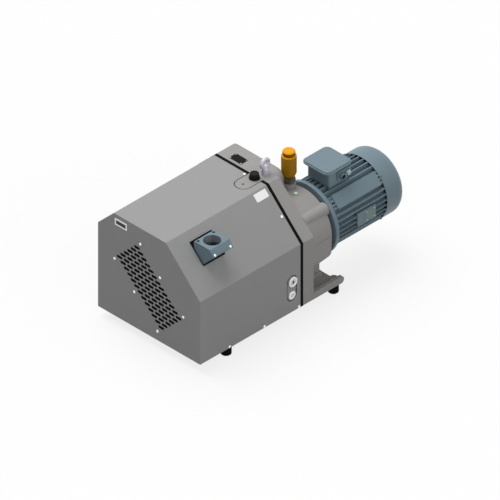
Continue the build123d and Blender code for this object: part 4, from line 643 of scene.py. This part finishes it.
def thread_tree():
    """Geometry nodes that roll a sheet into a pipe thread: the radius steps in and out along a helix."""
    sizes = ("Radius", "Pitch", "Depth", "Length")
    inputs = {"Mesh": "Geometry"} | dict.fromkeys(sizes, "Float") | {"Finish": "Material"}
    tree, node, given = start_group("cut_thread", inputs)
    full_turn = 2 * math.pi
    sheet = node(
        "GeometryNodeMeshGrid", {"Size X": full_turn, "Size Y": 1.0, "Vertices X": 73, "Vertices Y": 121}
    )
    spot = node("ShaderNodeSeparateXYZ", links={0: node("GeometryNodeInputPosition").outputs[0]}).outputs
    # The sheet's X is the angle about the thread's axis, and its Y the share of the length less a half
    known = {"angle": spot["X"], "share": spot["Y"]} | {size: given[size] for size in sizes}
    for made, operation, *operands in (
        ("back", "SUBTRACT", "share", 0.5),
        ("height", "MULTIPLY", "back", "Length"),
        ("pitches", "DIVIDE", "height", "Pitch"),
        ("turns", "DIVIDE", "angle", full_turn),
        ("along", "SUBTRACT", "pitches", "turns"),
        ("flank", "PINGPONG", "along", 0.5),
        ("steep", "MULTIPLY", "flank", 2.0),
        ("cut", "MULTIPLY", "steep", "Depth"),
        ("reach", "SUBTRACT", "Radius", "cut"),
        ("cosine", "COSINE", "angle"),
        ("sine", "SINE", "angle"),
        ("x", "MULTIPLY", "reach", "cosine"),
        ("y", "MULTIPLY", "reach", "sine"),
    ):
        links = {k: known[operand] for k, operand in enumerate(operands) if operand in known}
        values = {k: operand for k, operand in enumerate(operands) if operand not in known}
        known[made] = node("ShaderNodeMath", values, links, operation=operation).outputs[0]
    place = node("ShaderNodeCombineXYZ", links={"X": known["x"], "Y": known["y"], "Z": known["height"]})
    rolled = node(
        "GeometryNodeSetPosition", links={"Geometry": sheet.outputs["Mesh"], "Position": place.outputs[0]}
    )
    closed = node("GeometryNodeMergeByDistance", {"Distance": mm(0.01)}, {"Geometry": rolled.outputs[0]})
    end_group(node, given, closed.outputs[0])
    return tree


def cut_thread(name, place, radius, length, sizes, finish):
    """Threaded lining of a port, with its mouth at the place, made by geometry nodes."""
    tree = bpy.data.node_groups.get("cut_thread") or thread_tree()
    inputs = {"Radius": mm(radius), "Pitch": sizes.thread_pitch, "Depth": sizes.thread_depth}
    inputs |= {"Length": mm(length), "Finish": bpy.data.materials[finish]}
    lining = grow(name, bpy.data.meshes.new(name), tree, inputs)
    made = bmesh.new()
    made.from_mesh(lining.data)
    bmesh.ops.transform(made, matrix=place, verts=made.verts)
    bmesh.ops.recalc_face_normals(made, faces=made.faces)
    # A lining is seen from inside its bore, so its faces look at the axis
    axis = place.to_3x3() @ Vector((0, 0, 1))
    face = made.faces[0]
    away = face.calc_center_median() - place.translation
    away -= axis * away.dot(axis)
    if face.normal.dot(away) > 0:
        bmesh.ops.reverse_faces(made, faces=made.faces)
    made.to_mesh(lining.data)
    made.free()
    smooth_by_angle(lining.data, 20)
    return declare(lining)


class PUMP_OT_mix_finishes(bpy.types.Operator):
    """Make every finish and put it on the CAD nodes"""

    bl_idname = "pump.mix_finishes"
    bl_label = "Mix finishes"

    def execute(self, context):
        colours = context.scene.pump_colours
        for name, tone, *rest in FINISHES:
            chosen = tuple(getattr(colours, tone)) if hasattr(colours, tone) else linear(tone)
            make_finish(name, chosen, *rest)
        for finish, nodes in NODE_FINISH.items():
            for node in nodes:
                mesh = frame["nodes"][node].data
                mesh.materials.clear()
                mesh.materials.append(bpy.data.materials[finish])
        return {"FINISHED"}


class PUMP_OT_soften_castings(bpy.types.Operator):
    """Round the edges of the castings and sheet parts"""

    bl_idname = "pump.soften_castings"
    bl_label = "Soften castings"

    def execute(self, context):
        sizes = context.scene.pump_sizes
        cast, sheet, fin = sizes.casting_edge, sizes.sheet_edge, sizes.fin_edge
        for node, name, radius, finish, slot in (
            ("base_frame", "base_casting", cast, "rail_paint", "base_paint"),
            ("inlet_block", "inlet_casting", cast * 0.7, "motor_enamel", "motor_paint"),
            ("motor_rear_shield", "motor_end_shield", cast * 0.7, "motor_enamel", "motor_paint"),
            ("motor_frame", "motor_finned_frame", fin, "motor_enamel", "motor_paint"),
            ("terminal_box", "terminal_box_casting", cast * 0.5, "motor_enamel", "motor_paint"),
            ("fan_cowl", "fan_cowl_sheet", sheet, "cowl_enamel", "cowl_paint"),
            ("lifting_post", "lifting_post_turned", sheet, "forged_plate", "lifting_steel"),
            ("rubber_feet", "moulded_feet", sheet, "moulded_rubber", "black_rubber"),
        ):
            soften_node(node, name, radius, [finish])

        # The bell's foot starts behind this step and gets a larger shoulder, from its side to its underside
        step_x, side_y, under_z = mm(35.6), mm(-215.1), mm(119)
        centre_y, centre_z, shoulder = mm(-157), mm(178), mm(58)

        def round_bell(spot):
            arm = Vector((0, spot.y - centre_y, spot.z - centre_z))
            outside = arm.y < 0 and under_z - centre_z < arm.z < 0 and arm.length > shoulder
            if spot.x < step_x or spot.y < side_y or not outside:
                return spot
            return Vector((spot.x, centre_y, centre_z)) + arm.normalized() * shoulder

        soften_node(
            "gear_housing", "housing_casting", cast, ["cast_paint"], reshape=round_bell
        )

        # The cap's sides take a darker ochre than its top: painted shade on one orange moulding
        cap_top = corners("relief_valve_cap")[1].z - mm(3.2)
        soften_node(
            "relief_valve_cap", "relief_cap_moulded", sheet, ["ochre_cap_side", "orange_cap"],
            second=lambda spot, normal: spot.z > cap_top,
        )

        # The grille's slots lie inside this field of the front sheet
        sheet_back, half_width, lowest, highest = FRONT_X + mm(2.2), mm(200), mm(45), mm(405)

        def in_slot(spot, normal):
            flat = abs(normal.x) < 0.5 and spot.x < sheet_back
            below_slope = spot.z - spot.y < SLOPE_SUM - mm(15)
            return flat and abs(spot.y) < half_width and lowest < spot.z < highest and below_slope

        # The walls of the grille's slots take a dark grey: painted shade deep in each slot
        finishes = ["powder_coat", "slot_edge"]
        soften_node("acoustic_cover", "cover_sheet", sheet, finishes, second=in_slot)
        return {"FINISHED"}


class PUMP_OT_drive_screws(bpy.types.Operator):
    """Set every screw that shows, from the cover and the inlet block to the feet and the fan cowl"""

    bl_idname = "pump.drive_screws"
    bl_label = "Drive screws"

    def execute(self, context):
        sizes = context.scene.pump_sizes
        upright = (0, 0, 1)

        def cover_facing(spot):
            if spot.x < FRONT_X + mm(10):
                return (-1, 0, 0)
            if abs(spot.y) > mm(200):
                return (0, math.copysign(1, spot.y), 0)
            return upright if spot.z > COVER_TOP_Z - mm(12) else SLOPE

        def block_facing(spot):
            chamfer = (0, -22.5, 17)
            return upright if spot.y > mm(-160) else chamfer

        button = button_head(sizes.button_radius * 1000, sizes.button_height * 1000, socket=1.6)
        place_screws(
            "cover_button_screws", screw_shape(button, 1.6, 1.6, 2.4, 8.5),
            screw_seats("cover_screws", cover_facing, 3.0), "cover_screws", seed=3,
        )
        block_seats = screw_seats("block_screws", block_facing, 5.0)
        cylinder_head = [(0.0, 4.6), (0.3, 4.9), (4.4, 4.9), (4.9, 4.4)]
        place_screws(
            "block_socket_screws", screw_shape(cylinder_head, 2.2, 2.6, 2.9, 30),
            [seat for seat in block_seats if seat[1][1] == 0], "block_screws", seed=5,
        )
        place_screws(
            "block_edge_screws", screw_shape(button_head(4.5, 3.0, 1.5), 1.5, 1.5, 1.9, 7),
            [seat for seat in block_seats if seat[1][1] != 0], seed=8, lift=2.0,
        )
        place_screws(
            "foot_dome_screws", screw_shape(button_head(7.5, 5.0, 2.5), 2.5, 2.6, 3.8, 8),
            screw_seats("foot_screws", upright, 5.0), "foot_screws", seed=2,
        )
        place_screws(
            "flange_hex_screws", hex_screw(8.0, 7.5, 8.8, 1.4, 5.9, 32),
            screw_seats("flange_bolts", (1, 0, 0), 7.5), "flange_bolts", seed=7, lift=FLANGE_STEP * 1000,
        )
        countersunk = [(0.0, 2.4), (2.3, 3.9), (2.7, 3.9)]
        place_screws(
            "lid_countersunk_screws", screw_shape(countersunk, 1.2, 1.2, 1.9, 14),
            screw_seats("lid_screws", upright, 2.5), "lid_screws", finish="motor_enamel", seed=9,
        )
        low, high, middle = corners("fan_cowl")
        rim = Vector((low.x + mm(5), middle.y, middle.z))
        seats = []
        for k in range(4):
            angle = math.pi * (k + 0.5) / 2
            out = Vector((0, math.cos(angle), math.sin(angle)))
            seats.append((tuple(rim + out * (high.z - middle.z)), tuple(out)))
        place_screws(
            "cowl_screws", screw_shape(button_head(4.2, 2.2, 1.2), 1.2, 1.2, 1.9, 5), seats,
            finish="cowl_enamel", seed=4,
        )
        return {"FINISHED"}


class PUMP_OT_wind_valve_springs(bpy.types.Operator):
    """Wind the springs of the two valves, which on the real pump shorten as their discs move down"""

    bl_idname = "pump.wind_valve_springs"
    bl_label = "Wind valve springs"

    def execute(self, context):
        claw_reach = mm(64.3)
        for node, name, disc in (
            ("inlet_valve_spring", "inlet_spring_wound", "inlet_disc"),
            ("relief_spring", "relief_spring_wound", "poppet"),
        ):
            low, high, middle = corners(node)
            made = node_mesh(node)
            for spot in made.verts:
                # The lowest turn bridges the valve's opening above the reach of the claws
                rise = math.sqrt(max(claw_reach**2 - (spot.co.y - SHAFT_Y) ** 2, 0)) + SHAFT_Z - low.z
                if rise > 0:
                    spot.co.z += rise * (high.z - spot.co.z) / (high.z - low.z)
            spring = add_piece(name, made, ["ground_steel"], node, body=None)
            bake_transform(spring)
        return {"FINISHED"}


class PUMP_OT_turn_relief_valve(bpy.types.Operator):
    """Turn the relief valve's body and its nut"""

    bl_idname = "pump.turn_relief_valve"
    bl_label = "Turn relief valve"

    def execute(self, context):
        low, _, middle = corners("relief_valve_body")
        seat = stand(middle.x, middle.y, low.z)
        made = bmesh.new()
        body = [
            (8, 14), (8, 6), (-4, 6), (-4, 13), (-3, 15.6), (0, 18.2), (4, 21), (8, 23.2), (11, 24.2),
            (13, 24.5), (73.2, 24.5), (74.4, 24.0),
        ]
        loft(made, seat, body, steps=72)
        # The body's top chamfer takes the cap's bright orange: a painted highlight along its rim
        loft(made, seat, [(74.4, 24.0), (75.5, 22.8), (76, 21), (76, 14)], steps=72, finish=1)
        loft(made, seat, [(76, 14), (8, 14)], steps=72)
        finishes = ["ochre_lacquer", "orange_cap"]
        add_piece("relief_body_turned", outward(made), finishes, "relief_valve_body")

        nut = polygon(19.0, 6)
        rings = [
            (-4.2, 6), (-38, 6), (-38, 14.2), (-37, 15), (-19, 15), (-19, 17.6), (-17.6, nut), (-7.2, nut),
            (-6, 17.6), (-5.6, 13), (-4.2, 12.6), (-4.2, 6),
        ]
        made = loft(bmesh.new(), seat, rings, steps=72)
        add_piece("relief_nut", outward(made), ["dull_plate"], "relief_nipple")
        return {"FINISHED"}


class PUMP_OT_turn_motor_flange(bpy.types.Operator):
    """Turn the motor's flange, whose bolted rim is set back from the face that seats on the bell"""

    bl_idname = "pump.turn_motor_flange"
    bl_label = "Turn motor flange"

    def execute(self, context):
        step = FLANGE_STEP * 1000
        back = step + 14
        rim = 125.0
        profile = [
            (10, 16), (-5, 16), (-5, 90), (0, 90), (0, 101), (step, 101), (step, rim - 0.9),
            (step + 0.3, rim - 0.3), (step + 0.9, rim), (back - 0.9, rim), (back - 0.3, rim - 0.3),
            (back, rim - 0.9), (back, 99), (back + 1, 98), (28, 98), (28, 88), (14, 88), (14, 43), (28, 43),
            (28, 31), (10, 31), (10, 16),
        ]
        made = loft(bmesh.new(), stand(FLANGE_X, SHAFT_Y, SHAFT_Z, (1, 0, 0)), profile, steps=144)
        add_piece("motor_flange", outward(made), ["motor_enamel"], "motor_front_shield")
        return {"FINISHED"}


class PUMP_OT_press_terminal_lid(bpy.types.Operator):
    """Form the terminal lid: a crown with round corners over a thin lip, on the collar of the box"""

    bl_idname = "pump.press_terminal_lid"
    bl_label = "Press terminal lid"

    def execute(self, context):
        low, _, middle = corners("terminal_lid")
        collar = stand(corners("terminal_box")[2].x, SHAFT_Y, low.z)
        above = lifted(stand(middle.x - mm(3), middle.y + mm(4), low.z), 7)
        made = bmesh.new()
        plate(made, collar, 94, 96, 7.5, corner=8)
        plate(made, above, 117, 118, 4.2, corner=22, edge=0.8, steps=16)
        plate(made, above, 109, 110, 8, corner=18, edge=0.9, steps=16)
        add_piece("terminal_lid_pressed", made, ["motor_enamel"], "terminal_lid")
        return {"FINISHED"}


class PUMP_OT_turn_filler_knob(bpy.types.Operator):
    """Turn the fluted oil filler cap"""

    bl_idname = "pump.turn_filler_knob"
    bl_label = "Turn filler knob"

    def execute(self, context):
        flutes = context.scene.pump_sizes.knob_flutes
        middle = corners("oil_filler_cap")[2]
        seat = stand(middle.x, middle.y, COVER_TOP_Z)
        collar = [
            (-18, 0), (-18, 9.6), (-17, 10.8), (-0.4, 10.8), (0.1, 17.0), (0.7, 17.5), (5.8, 17.5),
            (6.8, 17.0), (7.1, 16.2), (7.1, 0),
        ]
        made = loft(bmesh.new(), seat, collar, steps=96)
        radius, depth = 15.0, 1.5
        grip = [(7.0, 0)]
        for height, inset in ((7.0, 0.0), (16.5, 0.0), (18.4, 0.4), (19.4, 1.2), (20.0, 2.6)):
            grip.append((height, fluted(radius - inset, depth, flutes)))
        grip += [(20.0, 10.6), (19.2, 10.0), (19.0, 8.8), (19.2, 0)]
        loft(made, seat, grip, steps=16 * flutes, finish=1)
        finishes = ["moulded_nylon", "knob_plastic"]
        add_piece(
            "filler_knob", outward(made), finishes, "oil_filler_cap", body="filler_cap"
        )
        return {"FINISHED"}


class PUMP_OT_forge_lifting_eye(bpy.types.Operator):
    """Forge the lifting eye in one piece with its neck and foot"""

    bl_idname = "pump.forge_lifting_eye"
    bl_label = "Forge lifting eye"

    def execute(self, context):
        _, high, middle = corners("eyebolt")
        foot_z = corners("lifting_post")[1].z
        ring_radius, wire = 14.9, 6.1
        centre = Vector((middle.x, middle.y, high.z - mm(ring_radius + wire)))
        made = bmesh.new()
        ring_tube(made, stand(*centre, (0, 1, 0)), ring_radius, wire)
        neck_top = (centre.z - foot_z) * 1000 - 14.0
        neck = [(0.1, 0), (0.1, 10.6), (2.4, 10.6), (3.2, 9.0), (5.0, 7.4)]
        neck += [(neck_top, 6.4), (neck_top + 1.5, 0)]
        loft(made, stand(middle.x, middle.y, foot_z), neck)
        finishes = ["forged_plate"]
        eye = add_piece("lifting_eye", outward(made), finishes, "eyebolt", smooth=180)
        fused = eye.modifiers.new("fused", "REMESH")
        fused.mode = "VOXEL"
        fused.voxel_size = mm(0.7)
        eased = eye.modifiers.new("eased", "SMOOTH")
        eased.factor = 0.5
        eased.iterations = 5
        smooth_by_angle(freeze(eye), 60)
        return {"FINISHED"}


class PUMP_OT_fit_side_plugs(bpy.types.Operator):
    """Fit the oil sight glass, the drain plug, a black ring of painted shade in the gap round both, and the
    vent plug
    """

    bl_idname = "pump.fit_side_plugs"
    bl_label = "Fit plugs"

    def execute(self, context):
        low, _, middle = corners("sight_glass")
        face = stand(middle.x, low.y, middle.z, (0, -1, 0))
        fitting = [
            (-29, 0), (-29, 12.4), (-28, 12.9), (-9.1, 12.9), (-9.0, 17.2), (-8.4, 17.9), (-2.2, 17.9),
            (-0.4, 16.6), (0, 15.4), (0, 13.4), (-1.0, 12.4), (-2.6, 12.2), (-2.8, 0),
        ]
        window = [(-2.8, 0), (-2.8, 12.2), (-1.6, 12.2), (-1.2, 11.6), (-1.2, 6.0), (-2.2, 5.0), (-2.4, 0)]
        made = loft(bmesh.new(), face, fitting, steps=72)
        loft(made, face, window, steps=72, finish=1)
        plate(made, lifted(face, -2.4), 6.4, 12.4, 1.6, corner=3.1, finish=2)
        finishes = ["anodised_plug", "sight_reflector", "sight_oil"]
        add_piece("oil_sight_glass", outward(made), finishes, "sight_glass")

        # A black ring round the two plugs: painted shade of the gap between their pad and the cover
        made = bmesh.new()
        outer, inner, back, front = 21.3, 19.15, mm(-220.5), mm(-222.4)
        rows = [
            [made.verts.new(spot) for spot in stadium(radius, middle.x, (mm(97), mm(149)), y)]
            for radius, y in ((outer, back), (outer, front), (inner, front), (inner, back))
        ]
        bridge_round(made, rows)
        add_piece("plug_gap_seal", outward(made), ["moulded_rubber"])

        low, _, middle = corners("drain_plug")
        plug = [
            (-24, 0), (-24, 9.4), (-23, 9.9), (-4.0, 9.9), (-4.0, 14.0), (-3.6, 14.5), (-1.0, 14.5),
            (0, 13.2), (0, 7.6), (-0.5, polygon(6.1, 6)), (-5.6, polygon(5.9, 6)), (-6.4, 0),
        ]
        made = loft(bmesh.new(), stand(middle.x, low.y, middle.z, (0, -1, 0)), plug, steps=72)
        add_piece("drain_screw_plug", outward(made), ["anodised_plug"], "drain_plug")

        _, high, middle = corners("vent_plug")
        seat = stand(middle.x, middle.y, high.z - mm(4.5))
        collar = [
            (-12, 0), (-12, 5.2), (-11.2, 5.9), (-0.1, 5.9), (0, 8.2), (0.4, 8.5), (2.2, 8.5), (3.0, 7.8),
            (3.0, 0),
        ]
        button = [(2.8, 0), (2.8, 6.6), (3.4, 6.4), (4.1, 5.4), (4.4, 3.6), (4.5, 0)]
        made = loft(bmesh.new(), seat, collar)
        loft(made, seat, button, finish=1)
        add_piece("vent_button", outward(made), ["vent_collar", "vent_plastic"], "vent_plug")
        return {"FINISHED"}


class PUMP_OT_fit_cable_glands(bpy.types.Operator):
    """Fit the open cable gland and the blanking plug of the terminal box"""

    bl_idname = "pump.fit_cable_glands"
    bl_label = "Fit cable glands"

    def execute(self, context):
        ribs = context.scene.pump_sizes.gland_ribs
        low, high, middle = corners("cable_glands")
        height = mm(12.0)
        seat_y = low.y + height
        nut = polygon(10.3, 6)
        stem = [(-8, 0), (-8, 7.9), (0, 7.9), (0, nut)]

        face = stand(low.x + height, seat_y, middle.z, (0, -1, 0))
        made = loft(bmesh.new(), face, stem + [(4.6, nut), (5.8, 9.6), (6.0, 9.0), (6.0, 0)], steps=72)
        dome = [
            (5.8, 0), (5.8, fluted(9.9, 0.7, ribs, 1)), (9.0, fluted(9.7, 0.7, ribs, 1)), (10.8, 8.9),
            (11.8, 7.7), (11.8, 6.7), (4.0, 6.7), (4.0, 0),
        ]
        loft(made, face, dome, steps=8 * ribs)
        lip = [(11.9, 6.6), (11.9, 5.2), (10.9, 4.8), (9.6, 4.6)]
        loft(made, face, [(3.0, 0), (3.0, 6.6)] + lip + [(4.4, 4.6), (4.4, 0)], finish=1)

        face = stand(high.x - height, seat_y, middle.z, (0, -1, 0))
        blank = stem + [(5.0, nut), (5.8, 9.6), (6.0, 9.2), (8.6, 9.0), (10.8, 7.6), (11.8, 5.2), (12.0, 0)]
        loft(made, face, blank, steps=72, finish=2)
        finishes = ["gland_nylon", "moulded_rubber", "gland_metal"]
        add_piece("cable_gland_pair", outward(made), finishes, "cable_glands")
        return {"FINISHED"}


class PUMP_OT_fix_plates(bpy.types.Operator):
    """Fix the bare plates and labels, with rivets where they are riveted"""

    bl_idname = "pump.fix_plates"
    bl_label = "Fix plates"

    def execute(self, context):
        made = bmesh.new()
        face = Matrix(((0, 0, -1, FRONT_X), (-1, 0, 0, mm(122.5)), (0, 1, 0, mm(391.5)), (0, 0, 0, 1)))
        plate(made, face, 53, 25, 1.0, corner=2.0)
        plate(made, lifted(face, 0.6), 42, 14, 0.7, corner=1.2, finish=1)
        add_piece("front_badge", made, ["white_label", "badge_field"])

        made = bmesh.new()
        across = Vector((1, 0, 0))
        lie = Matrix((across, SLOPE.cross(across), SLOPE)).transposed().to_4x4()
        label_x, label_y = mm(-58), mm(-87.75)
        slope = Matrix.Translation((label_x, label_y, SLOPE_SUM + label_y)) @ lie
        plate(made, slope, 51, 27.6, 0.4, corner=1.0, edge=0.1)
        add_piece("slope_label", made, ["white_label"])

        pad_y = corners("motor_frame")[0].y
        housing = Matrix.Translation((mm(16.5), mm(85.5), COVER_TOP_Z))
        motor = Matrix(((1, 0, 0, mm(302)), (0, 0, -1, pad_y), (0, 1, 0, mm(215)), (0, 0, 0, 1)))
        for name, place, size, rivets, head, finish, slot, seed in (
            ("housing_plate", housing, (32, 53, 1.0), (12.5, 23), 1.6, "black_plate", "black_plastic", 12),
            ("motor_nameplate", motor, (40, 36, 0.8), (17, 15), 1.5, "motor_plate", "motor_paint", 13),
        ):
            made = bmesh.new()
            plate(made, place, *size, corner=1.5)
            add_piece(name, made, [finish])
            on_top = lifted(place, size[2])
            seats = [
                (on_top @ Vector((mm(i * rivets[0]), mm(j * rivets[1]), 0)), place.col[2].xyz)
                for i in (-1, 1) for j in (-1, 1)
            ]
            rivet = screw_shape(button_head(head, 0.9, 0.3), 0.3, 0.2, 0.9, 2)
            place_screws(name + "_rivets", rivet, seats, seed=seed)
        return {"FINISHED"}


class PUMP_OT_shade_inlet_gap(bpy.types.Operator):
    """Lay a black band on the slope round the inlet block's opening: painted shade of the gap behind the
    block
    """

    bl_idname = "pump.seal_inlet_block"
    bl_label = "Seal inlet block"

    def execute(self, context):
        low, high, _ = corners("inlet_block")
        inner = (low.x - mm(3.5), mm(-156.0), high.x + mm(3.5), mm(-105.0))
        outer = (low.x - mm(4.9), mm(-158.5), high.x + mm(5.6), mm(-97.3))
        proud = mm(0.7)
        made = bmesh.new()
        rows = []
        for lift, (left, near, right, far) in ((0.0, outer), (proud, outer), (proud, inner), (0.0, inner)):
            spots = ((left, near), (right, near), (right, far), (left, far))
            rows.append([made.verts.new(Vector((x, y, y + SLOPE_SUM)) + SLOPE * lift) for x, y in spots])
        bridge_round(made, rows)
        # A black band of painted shade, for the gap round the block
        gap_band = add_piece("block_edge_trim", outward(made), ["moulded_rubber"], smooth=30)
        rounding = gap_band.modifiers.new("rounding", "BEVEL")
        rounding.width = mm(0.3)
        rounding.segments = 2
        freeze(gap_band)
        return {"FINISHED"}


class PUMP_OT_cut_port_threads(bpy.types.Operator):
    """Cut the pipe threads of the inlet and exhaust ports"""

    bl_idname = "pump.cut_port_threads"
    bl_label = "Cut port threads"

    def execute(self, context):
        for mount, slot in (("inlet_port", "motor_paint"), ("exhaust_port", "casting_paint")):
            port = next(m for m in frame["record"]["mounts"] if m["name"] == mount)
            start = lifted(stand(*port["pos_m"], port["axis"]), -1.5)
            radius, length = port["dims"]["r_mm"] - 0.05, port["dims"]["length_mm"] - 6
            sizes = context.scene.pump_sizes
            # The lining's dark grey is painted shade deep inside each port
            cut_thread(mount + "_thread", start, radius, length, sizes, "bare_aluminium_bore")
        return {"FINISHED"}


def seen_directly(node):
    """Socket that is one where the camera, a mirror or glass looks: the background is white there."""
    rays = node("ShaderNodeLightPath").outputs
    seen = rays["Is Camera Ray"]
    for other in ("Is Glossy Ray", "Is Transmission Ray"):
        seen = node("ShaderNodeMath", links={0: seen, 1: rays[other]}, operation="MAXIMUM").outputs[0]
    return seen


class PUMP_OT_set_stage(bpy.types.Operator):
    """Lay the floor and set the lights and the camera"""

    bl_idname = "pump.set_stage"
    bl_label = "Set the stage"

    def execute(self, context):
        scene = context.scene
        stage = scene.pump_stage
        pale = tuple(scene.pump_colours.floor)

        # Pale floor: where it is seen it is mostly white of its own and so keeps a soft shadow,
        # and it is grey to the light that bounces off it
        floor_material = bpy.data.materials.new("pale_floor")
        node = partial(add_node, empty_tree(floor_material))
        seen = seen_directly(node)
        tone = node("ShaderNodeMix", {6: (0.3, 0.3, 0.3, 1), 7: pale}, {0: seen}, data_type="RGBA").outputs[2]
        matt = node("ShaderNodeBsdfDiffuse", links={"Color": tone}).outputs[0]
        glow = node("ShaderNodeEmission", {"Color": pale, "Strength": 1.0}).outputs[0]
        share = node("ShaderNodeMath", {1: 0.8}, {0: seen}, operation="MULTIPLY").outputs[0]
        both = node("ShaderNodeMixShader", links={0: share, 1: matt, 2: glow}).outputs[0]
        node("ShaderNodeOutputMaterial", links={"Surface": both})

        half = 9
        mesh = bpy.data.meshes.new("floor")
        edge_spots = [(-half, -half, 0), (half, -half, 0), (half, half, 0), (-half, half, 0)]
        mesh.from_pydata(edge_spots, [], [(0, 1, 2, 3)])
        mesh.materials.append(floor_material)
        floor = add_object("floor", mesh)

        scene.world = bpy.data.worlds.new("studio")
        node = partial(add_node, empty_tree(scene.world))
        seen = seen_directly(node)
        white = (1, 1, 1, 1)
        even = node("ShaderNodeBackground", {"Color": white, "Strength": stage.sky}).outputs[0]
        backdrop = node("ShaderNodeBackground", {"Color": white, "Strength": 1.0}).outputs[0]
        both = node("ShaderNodeMixShader", links={0: seen, 1: even, 2: backdrop}).outputs[0]
        node("ShaderNodeOutputWorld", links={"Surface": both})

        for name, strength, direction, spread in (
            ("key_light", stage.sun, (0.0, 0.42, 0.9), 50),
            ("side_fill", stage.fill, (0.0, -0.86, 0.5), 60),
        ):
            lamp = bpy.data.lights.new(name, "SUN")
            lamp.energy = strength
            lamp.angle = math.radians(spread)
            add_object(name, lamp).rotation_euler = Vector(direction).to_track_quat("Z", "Y").to_euler()

        lens = bpy.data.cameras.new("camera")
        lens.type = "ORTHO"
        lens.ortho_scale = stage.view_width
        lens.clip_end = 20
        camera = add_object("camera", lens)
        back = Vector((-1, -1, 1)).normalized()
        camera.location = Vector((mm(-19.1), 0, mm(135.6))) + back * 3
        camera.rotation_euler = back.to_track_quat("Z", "Y").to_euler()
        scene.camera = camera
        scene.view_settings.view_transform = "Standard"
        return {"FINISHED"}


class PUMP_PT_sidebar(bpy.types.Panel):
    """Steps of dressing the pump, with their colours and sizes."""

    bl_label = "Claw vacuum pump"
    bl_idname = "PUMP_PT_sidebar"
    bl_space_type = "VIEW_3D"
    bl_region_type = "UI"
    bl_category = "Pump"

    def draw(self, context):
        scene = context.scene
        for group in (scene.pump_colours, scene.pump_sizes, scene.pump_stage):
            box = self.layout.box()
            for name in group.__annotations__:
                box.prop(group, name)
        for step in STEPS:
            self.layout.operator(step.bl_idname)


STEPS = (
    PUMP_OT_set_stage,
    PUMP_OT_mix_finishes,
    PUMP_OT_soften_castings,
    PUMP_OT_drive_screws,
    PUMP_OT_wind_valve_springs,
    PUMP_OT_turn_relief_valve,
    PUMP_OT_turn_motor_flange,
    PUMP_OT_press_terminal_lid,
    PUMP_OT_turn_filler_knob,
    PUMP_OT_forge_lifting_eye,
    PUMP_OT_fit_side_plugs,
    PUMP_OT_fit_cable_glands,
    PUMP_OT_fix_plates,
    PUMP_OT_shade_inlet_gap,
    PUMP_OT_cut_port_threads,
)
GROUPS = {"pump_colours": PumpColours, "pump_sizes": PumpSizes, "pump_stage": PumpStage}


def register():
    for name, group in GROUPS.items():
        bpy.utils.register_class(group)
        setattr(bpy.types.Scene, name, bpy.props.PointerProperty(type=group))
    for step in STEPS:
        bpy.utils.register_class(step)
    bpy.utils.register_class(PUMP_PT_sidebar)


def unregister():
    bpy.utils.unregister_class(PUMP_PT_sidebar)
    for step in reversed(STEPS):
        bpy.utils.unregister_class(step)
    for name, group in GROUPS.items():
        delattr(bpy.types.Scene, name)
        bpy.utils.unregister_class(group)


def main():
    """Dress the pump step by step."""
    register()
    for step in STEPS:
        area, action = step.bl_idname.split(".")
        getattr(getattr(bpy.ops, area), action)()


if __name__ == "__main__":
    main()
